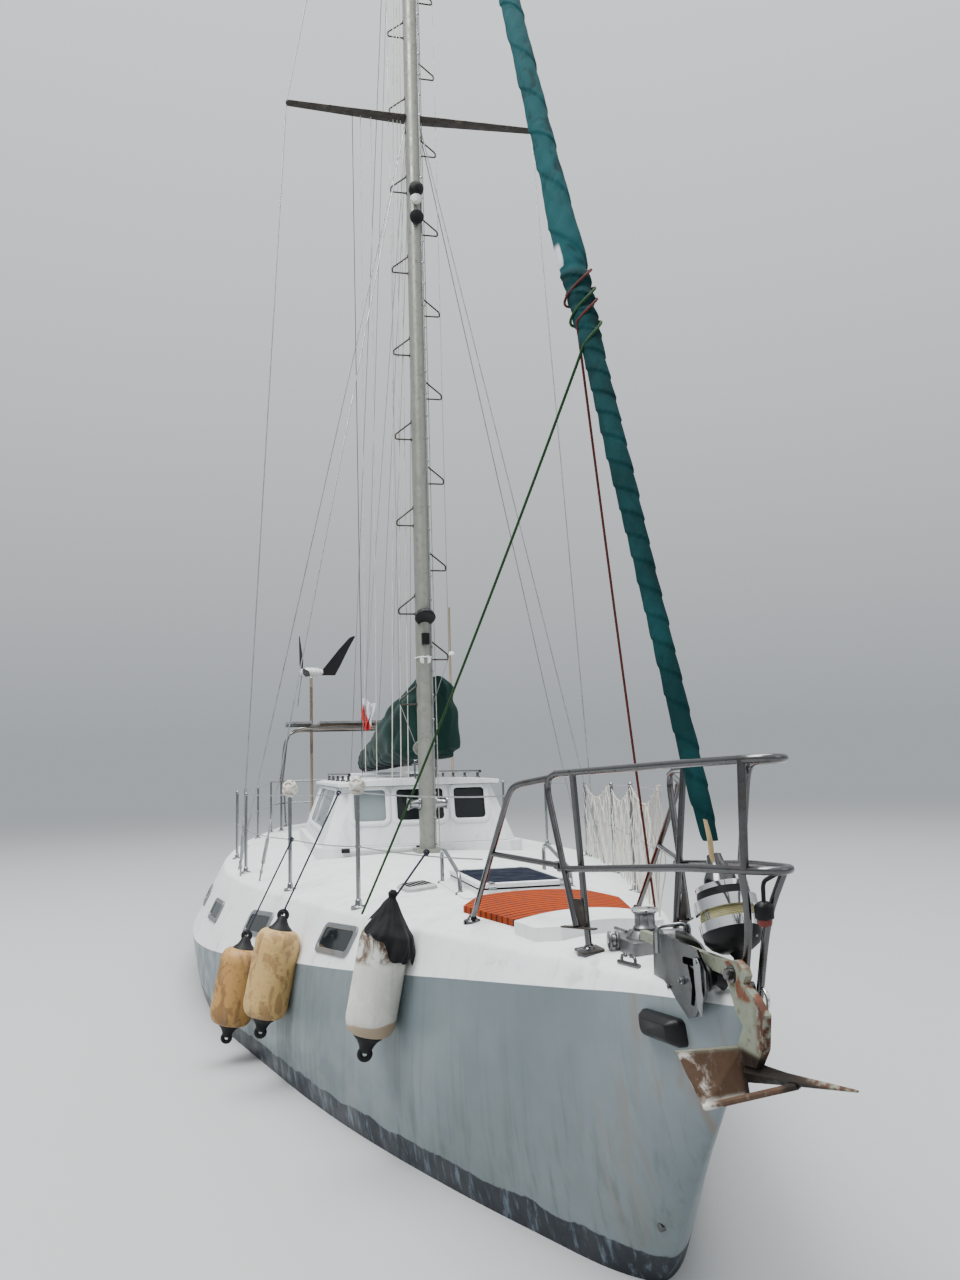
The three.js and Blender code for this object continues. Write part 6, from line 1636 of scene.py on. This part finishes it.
# Keel, skeg and rudder by the foil section; bracket and propeller are the CAD forms.
def makeUnderwater():
    place("keel_fin", [foilRings(between([(1.05, -1.15, 0.105, -1.85), (1.25, -1.45, 0.135, -1.10),
        (1.45, -1.65, 0.16, -0.60)]))], antifouling, instead="keel", slot="antifoul", bevel=0.01, sharp=50)
    place("skeg", [foilRings(between([(-4.13, -4.77, 0.05, -1.06), (-4.0, -4.77, 0.06, -0.15)])),
        turned((-2.2, 0, -0.525), (-0.9903, 0, -0.1392), [(0, 0.046), (0.60, 0.046), (0.605, 0.040)], 28)],
        antifouling, slot="antifoul", bevel=0.004, sharp=50)
    blade = foilRings(between([(-4.82, -5.42, 0.038, -1.5), (-4.82, -5.56, 0.052, -0.3)]))
    stock = turned((-4.95, 0, -0.35), (0, 0, 1), [(0, 0.030), (0.4997, 0.030)], 24)
    place("rudder_blade", [blade, stock], antifouling, body="rudder", instead="rudder", slot="antifoul",
        bevel=0.004, sharp=50)
    refined("shaft_bracket", bronze, bevel=0.002, slot="bronze")
    refined("propeller", bronze, body="propeller", bevel=0.0015, slot="bronze")


makeUnderwater()
print("underwater ready")

helm = {"x": -4.42, "z": 1.29, "radius": 0.33, "spokes": 6}


# Cockpit: the wheel's rim is a circle of tube with straight spokes, the winches and the dome are turned
# forms, and the slats lie at an even pitch.
def makeCockpit(h):
    wheel, x, z, r = [], h["x"], h["z"], h["radius"]
    ring = np.linspace(0, 2 * np.pi, 96, endpoint=False)
    wheel.append(tube(np.c_[np.full(96, x), r * np.cos(ring), z + r * np.sin(ring)], 0.0135, 16,
        looped=True))
    wheel.append(turned((x - 0.025, 0, z), (1, 0, 0),
        [(0, 0.03), (0.003, 0.045), (0.047, 0.045), (0.05, 0.03)], 32))
    for t in np.arange(h["spokes"]) * np.pi / 3:
        d = np.array([0, math.cos(t), math.sin(t)])
        wheel.append(tube(np.array([(x, 0, z) + d * 0.03, (x, 0, z) + d * 0.18, (x, 0, z) + d * r]),
            np.array([0.009, 0.007, 0.006]), 10))
    place("wheel_rim", wheel, polished, body="steering_wheel", instead="steering_wheel", slot="steel")
    refined("steering_pedestal", whitePlastic, bevel=0.006, slot="steel")
    compass = [turned((-4.29, 0, 1.38), (0, 0, 1), [(0, 0.06), (0.01, 0.058), (0.03, 0.050), (0.045, 0.036),
        (0.055, 0.016), (0.058, 0.004)], 32)]
    place("compass_dome", compass, darkGlass, slot="glass")
    winches = []
    for s in (-1, 1):
        for wx in (-3.0, -4.7):
            winches.append(turned((wx, s * 0.5625, 1.19), (0, 0, 1),
                [(0, 0.040), (0.012, 0.040), (0.016, 0.034), (0.03, 0.030), (0.075, 0.030), (0.09, 0.036),
                (0.10, 0.038), (0.118, 0.038), (0.122, 0.02)], 36))
    place("cockpit_winches", winches, polished, slot="steel")
    slats = []
    for k in range(9):
        y = (k - 4) * 0.105
        slats.append(plate(np.array([(-5.2, y - 0.044, 0.6405), (-2.8, y - 0.044, 0.6405),
            (-2.8, y + 0.044, 0.6405), (-5.2, y + 0.044, 0.6405)]), (0, 0, 0.014)))
    f = Finish("teak", Specular_IOR_Level=0.3)
    grain = f.noise(3, 6, 0.65, stretch=(1, 22, 22), warp=0.3)
    f.bump(grain, 0.4, 0.001)
    teak = f.show(f.mix(f.ramp(grain, 0.3, 0.7), (0.13, 0.075, 0.04), (0.30, 0.20, 0.12)),
        f.ramp(grain, 0.3, 0.7, 0.6, 0.85))
    place("sole_slats", slats, teak, slot="deck_paint", bevel=0.002)
    lid = linked("locker_cover", meshFrom("locker_cover",
        [block((-4.144, -3.256), (-1.074, -0.646), (0.6, 1.4))]))
    carve(lid, [deckSkin(-0.001)], keep=True)
    carve(lid, [deckSkin(-0.030)])
    settle(lid, deckPaint, body="locker_lid", instead="locker_lid", slot="deck_paint", bevel=0.004)
    hasp = [turned((-3.7, -0.70, float(deckHeight(-3.7, -0.70)[0]) - 0.004), (0, 0, 1),
        [(0, 0.026), (0.005, 0.026), (0.007, 0.018)], 24)]
    place("locker_catch", hasp, polished, body="locker_lid", slot="steel")


makeCockpit(helm)
print("cockpit ready")

# Stern gear
hub = {"at": (-5.45, -0.56, 3.125), "aim": 82.4, "blades": (-8, 112, 232)}


# Wind generator: turned pole, body and spinner; each blade is one section, widened and pitched along its
# length.
def makeGenerator(h):
    centre = np.array(h["at"])
    t = math.radians(h["aim"])
    aim, flat = np.array([math.cos(t), -math.sin(t), 0]), np.array([math.sin(t), math.cos(t), 0])
    x, y = h["at"][:2]
    place("generator_tube", [turned((x, y, float(deckHeight(x, y)[0]) - 0.01), (0, 0, 1),
        [(0, 0.07), (0.012, 0.07), (0.03, 0.042), (0.04, 0.0225), (0.05, 0.021), (1.9, 0.021)], 32),
        turned((x, y, 2.0), (0, 0, 1), [(0, 0.021), (1.04, 0.021)], 32)], tanPaint,
        instead="generator_pole", slot="pole")
    body = [turned(centre - aim * 0.17, aim, [(0, 0.012), (0.006, 0.03), (0.03, 0.042), (0.09, 0.054),
        (0.15, 0.0605), (0.22, 0.062), (0.245, 0.060), (0.256, 0.054), (0.262, 0.04)], 40),
        turned(centre - (0, 0, 0.0847), (0, 0, 1), [(0, 0.030), (0.05, 0.031), (0.08, 0.036)], 28)]
    for k in range(5):
        body.append(turned(centre + aim * (-0.10 + 0.035 * k), aim,
            [(0, 0.058), (0.003, 0.066), (0.007, 0.066), (0.010, 0.058)], 40))
    place("generator_nacelle", body, whitePlastic, body="generator_head", instead="generator_head",
        slot="deck_paint")
    fin = np.array([(-0.136, -0.045), (-0.34, -0.045), (-0.42, 0.10), (-0.55, 0.36), (-0.64, 0.52),
        (-0.60, 0.52), (-0.55, 0.495), (-0.40, 0.33), (-0.26, 0.155), (-0.15, 0.02)])
    outline = centre + fin[:, :1] * aim + fin[:, 1:] * np.array([0, 0, 1]) - flat * 0.003
    place("generator_fin", [plate(outline, flat * 0.006)], blackPlastic, body="generator_head",
        slot="blade", bevel=0.0015)
    rotor = [turned(centre + aim * 0.0923, aim, [(0, 0.044), (0.010, 0.050), (0.026, 0.050), (0.045, 0.042),
        (0.064, 0.026), (0.078, 0.006)], 36)]
    place("generator_spinner", rotor, whitePlastic, body="generator_rotor", slot="deck_paint")
    blades = []
    for turn in h["blades"]:
        a = math.radians(turn)
        out = flat * math.cos(a) + np.array([0, 0, math.sin(a)])
        across = np.cross(aim, out)
        f = np.linspace(0, 1, 30)
        rr = 0.03 + 0.545 * f
        half = np.interp(rr, [0.03, 0.15, 0.42, 0.56, 0.575], [0.026, 0.062, 0.044, 0.030, 0.010])
        pitch = np.radians(np.interp(rr, [0.03, 0.15, 0.42, 0.575], [20, 16, 8, 4]))
        chord = across * np.cos(pitch)[:, None] + aim * np.sin(pitch)[:, None]
        section = np.array([(-1, 0), (-0.7, 0.5), (-0.3, 0.7), (0.3, 0.4), (1, 0), (0.3, -0.25),
            (-0.3, -0.5), (-0.7, -0.4)])
        rings = (centre + aim * 0.125 + out * rr[:, None])[:, None] + chord[:, None] * (half[:, None]
            * section[None, :, 0])[..., None] \
            + aim * (0.006 * section[None, :, 1])[..., None]
        blades.append(skin(rings))
    place("generator_blades", blades, blackPlastic, body="generator_rotor", instead="generator_rotor",
        slot="blade", sharp=50)


# Lamp pole and canopy frame: turned tubes, and hoops as straight legs with rounded corners.
def makeSternGear():
    lamp, x, y = [], -4.5, 1.24
    lamp.append(turned((x, y, float(deckHeight(x, y)[0]) - 0.01), (0, 0, 1),
        [(0, 0.05), (0.012, 0.05), (0.02, 0.024), (0.03, 0.017), (2.9, 0.017)], 28))
    lamp.append(turned((x, y, 3.0), (0, 0, 1), [(0, 0.0175), (0.88, 0.0175), (0.885, 0.021), (0.90, 0.021)],
        28))
    lamp.append(tube(np.array([(x, y, 3.25), (x + 0.06, y, 3.252), (x + 0.12, y, 3.25)]), 0.008, 12))
    place("lamp_tube", lamp, tanPaint, instead="lamp_pole", slot="pole")
    dome = turned((x + 0.13, y, 3.23), (0, 0, 1), [(0, 0.030), (0.006, 0.038), (0.03, 0.040),
        (0.044, 0.034), (0.052, 0.020), (0.055, 0.004)], 32)
    place("lamp_dome", [dome], whitePlastic, slot="deck_paint")
    half, top, tubes = 0.93, 2.29, []
    for hx in (-4.2, -5.25):
        tubes.append(tube(bentPath([(hx, half + 0.06, 1.63), (hx, half, 2.18), (hx, half - 0.13, top),
            (hx, -half + 0.13, top), (hx, -half, 2.18), (hx, -half - 0.06, 1.63)], 0.10, 8), 0.0125, 16))
    for s in (-1, 1):
        a = deckPoint(-4.78, s * 0.99)
        tubes += [foot(-4.78, s * 0.99, 0.014), tube(np.array(
            [a, (-4.79, s * 0.99, 1.4), (-4.8, s * 0.99, 1.66)]), 0.014, 16),
            tube(np.array([(-4.8, s * 0.99, 1.64), (-4.5, s * 0.99, 1.642), (-4.2, s * 0.99, 1.645)]),
            0.012, 16), tube(np.array([(-4.8, s * 0.99, 1.64), (-5.0, s * 0.99, 1.642),
            (-5.25, s * 0.99, 1.645)]), 0.012, 16)]
    place("bimini_hoops", tubes, polished, instead="bimini_frame", slot="steel")


canopy = {"aft": -5.27, "long": 1.09, "half": 0.87, "top": 2.3065}


# Canopy: a cloth laid over the hoops, z = top - sag sin(pi s) - fall |v|^9, with s along it and v across.
def makeCanopy(c):
    n, m = 60, 70
    s, v = np.linspace(0, 1, n)[:, None], np.linspace(-1, 1, m)[None, :]
    x = c["aft"] + c["long"] * s + 0 * v
    y = c["half"] * v + 0 * s
    z = c["top"] + 0.006 * (1 - v**2) - 0.022 * np.sin(np.pi * s) * (1 - 0.5 * np.abs(v)) \
        - 0.055 * np.abs(v)**9 + 0.003 * np.sin(9 * v + 5 * s)
    top = np.stack([x, y, z], -1)
    under = top - (0, 0, 0.0022)
    rings = np.concatenate([top, under[:, ::-1]], axis=1)
    sheet = place("bimini_canvas", [skin(rings)], brownCanvas, instead="bimini_top", slot="canvas",
        sharp=60)


# Panels: a rectangular ring round a flat plate, on two cross bars.
def makePanels():
    low, frames, cells = 2.3338, [], []
    for x in (-4.52, -4.90):
        frames.append(block((x - 0.012, x + 0.012), (-0.93, 0.93), (low, low + 0.022)))
    for a, b in ((-0.93, -0.61), (-0.5, 0.5), (0.61, 0.93)):
        o = lambda w, z: np.array([(-5.05 + w, a + w, z), (-4.37 - w, a + w, z), (-4.37 - w, b - w, z),
            (-5.05 + w, b - w, z)])
        frames.append(ringPlate(o(0, low + 0.018), o(0.016, low + 0.018), (0, 0, 0.034)))
        cells.append(plate(o(0.014, low + 0.022), (0, 0, 0.026)))
    place("panel_frames", frames, greyAlloy, slot="alloy", bevel=0.0015)
    f = Finish("solar_cells", Coat_Weight=0.6, Coat_Roughness=0.05)
    grid = f.math("MAXIMUM", f.ramp(f.waves(2.0, "X"), 0.97, 0.99), f.ramp(f.waves(2.0, "Y"), 0.97, 0.99))
    tone = f.mix(f.noise(12, 3), (0.008, 0.012, 0.035), (0.018, 0.022, 0.055))
    f.bump(grid, 0.2, 0.0005)
    place("panel_cells", cells, f.show(f.mix(grid, tone, (0.30, 0.31, 0.33)),
        f.ramp(f.noise(20, 3), 0.3, 0.7, 0.15, 0.3)), instead="solar_panels", slot="solar")


makeGenerator(hub)
makeSternGear()
makeCanopy(canopy)
makePanels()
print("stern gear ready")

# Light and floor
studio = {"floor": (0.42, 0.43, 0.435), "low": (0.36, 0.385, 0.405), "sky": (0.95, 0.98, 1.0),
    "strength": 1.15, "lamps": (("key", (7, -8, 16), (2, 0, 2), 8, 3100),
    ("top", (0, 0, 22), (0, 0.1, 0), 14, 5200), ("fill", (12, 10, 8), (2, 0, 2), 10, 250))}


# The floor fades into the backdrop's own colour with distance, so that no edge shows between them.
def makeStudio(s):
    floor = linked("floor", meshFrom("floor", [block((-160, 120), (-140, 140), (-0.02, 0.0))]))
    f = Finish("floor", Roughness=0.9, Specular_IOR_Level=0.0)
    away = f.math("SQRT", f.math("ADD", f.math("POWER", f.axes["X"], 2.0),
        f.math("POWER", f.axes["Y"], 2.0)))
    far = f.ramp(away, 13, 60)
    f.plug(f.shader.inputs["Emission Color"], tuple(c * s["strength"] for c in s["low"]))
    f.plug(f.shader.inputs["Emission Strength"], far)
    floor.data.materials.append(f.show(f.mix(far, s["floor"], (0, 0, 0))))
    world = bpy.data.worlds.new("studio")
    bpy.context.scene.world = world
    world.use_nodes = True
    tree = world.node_tree
    back = tree.nodes["Background"]
    aim, split, ramp = (tree.nodes.new("ShaderNode" + kind)
        for kind in ("TexCoord", "SeparateXYZ", "ValToRGB"))
    tree.links.new(aim.outputs["Generated"], split.inputs[0])
    tree.links.new(split.outputs["Z"], ramp.inputs[0])
    tree.links.new(ramp.outputs[0], back.inputs[0])
    ramp.color_ramp.elements[0].position, ramp.color_ramp.elements[1].position = 0.03, 0.75
    ramp.color_ramp.elements[0].color, ramp.color_ramp.elements[1].color = (*s["low"], 1), (*s["sky"], 1)
    back.inputs[1].default_value = s["strength"]
    for name, at, aim, size, power in s["lamps"]:
        data = bpy.data.lights.new(name, "AREA")
        data.size, data.energy = size, power
        light = bpy.data.objects.new(name, data)
        light.location = at
        light.rotation_euler = (Vector(aim) - Vector(at)).to_track_quat("-Z", "Y").to_euler()
        bpy.context.scene.collection.objects.link(light)


makeStudio(studio)
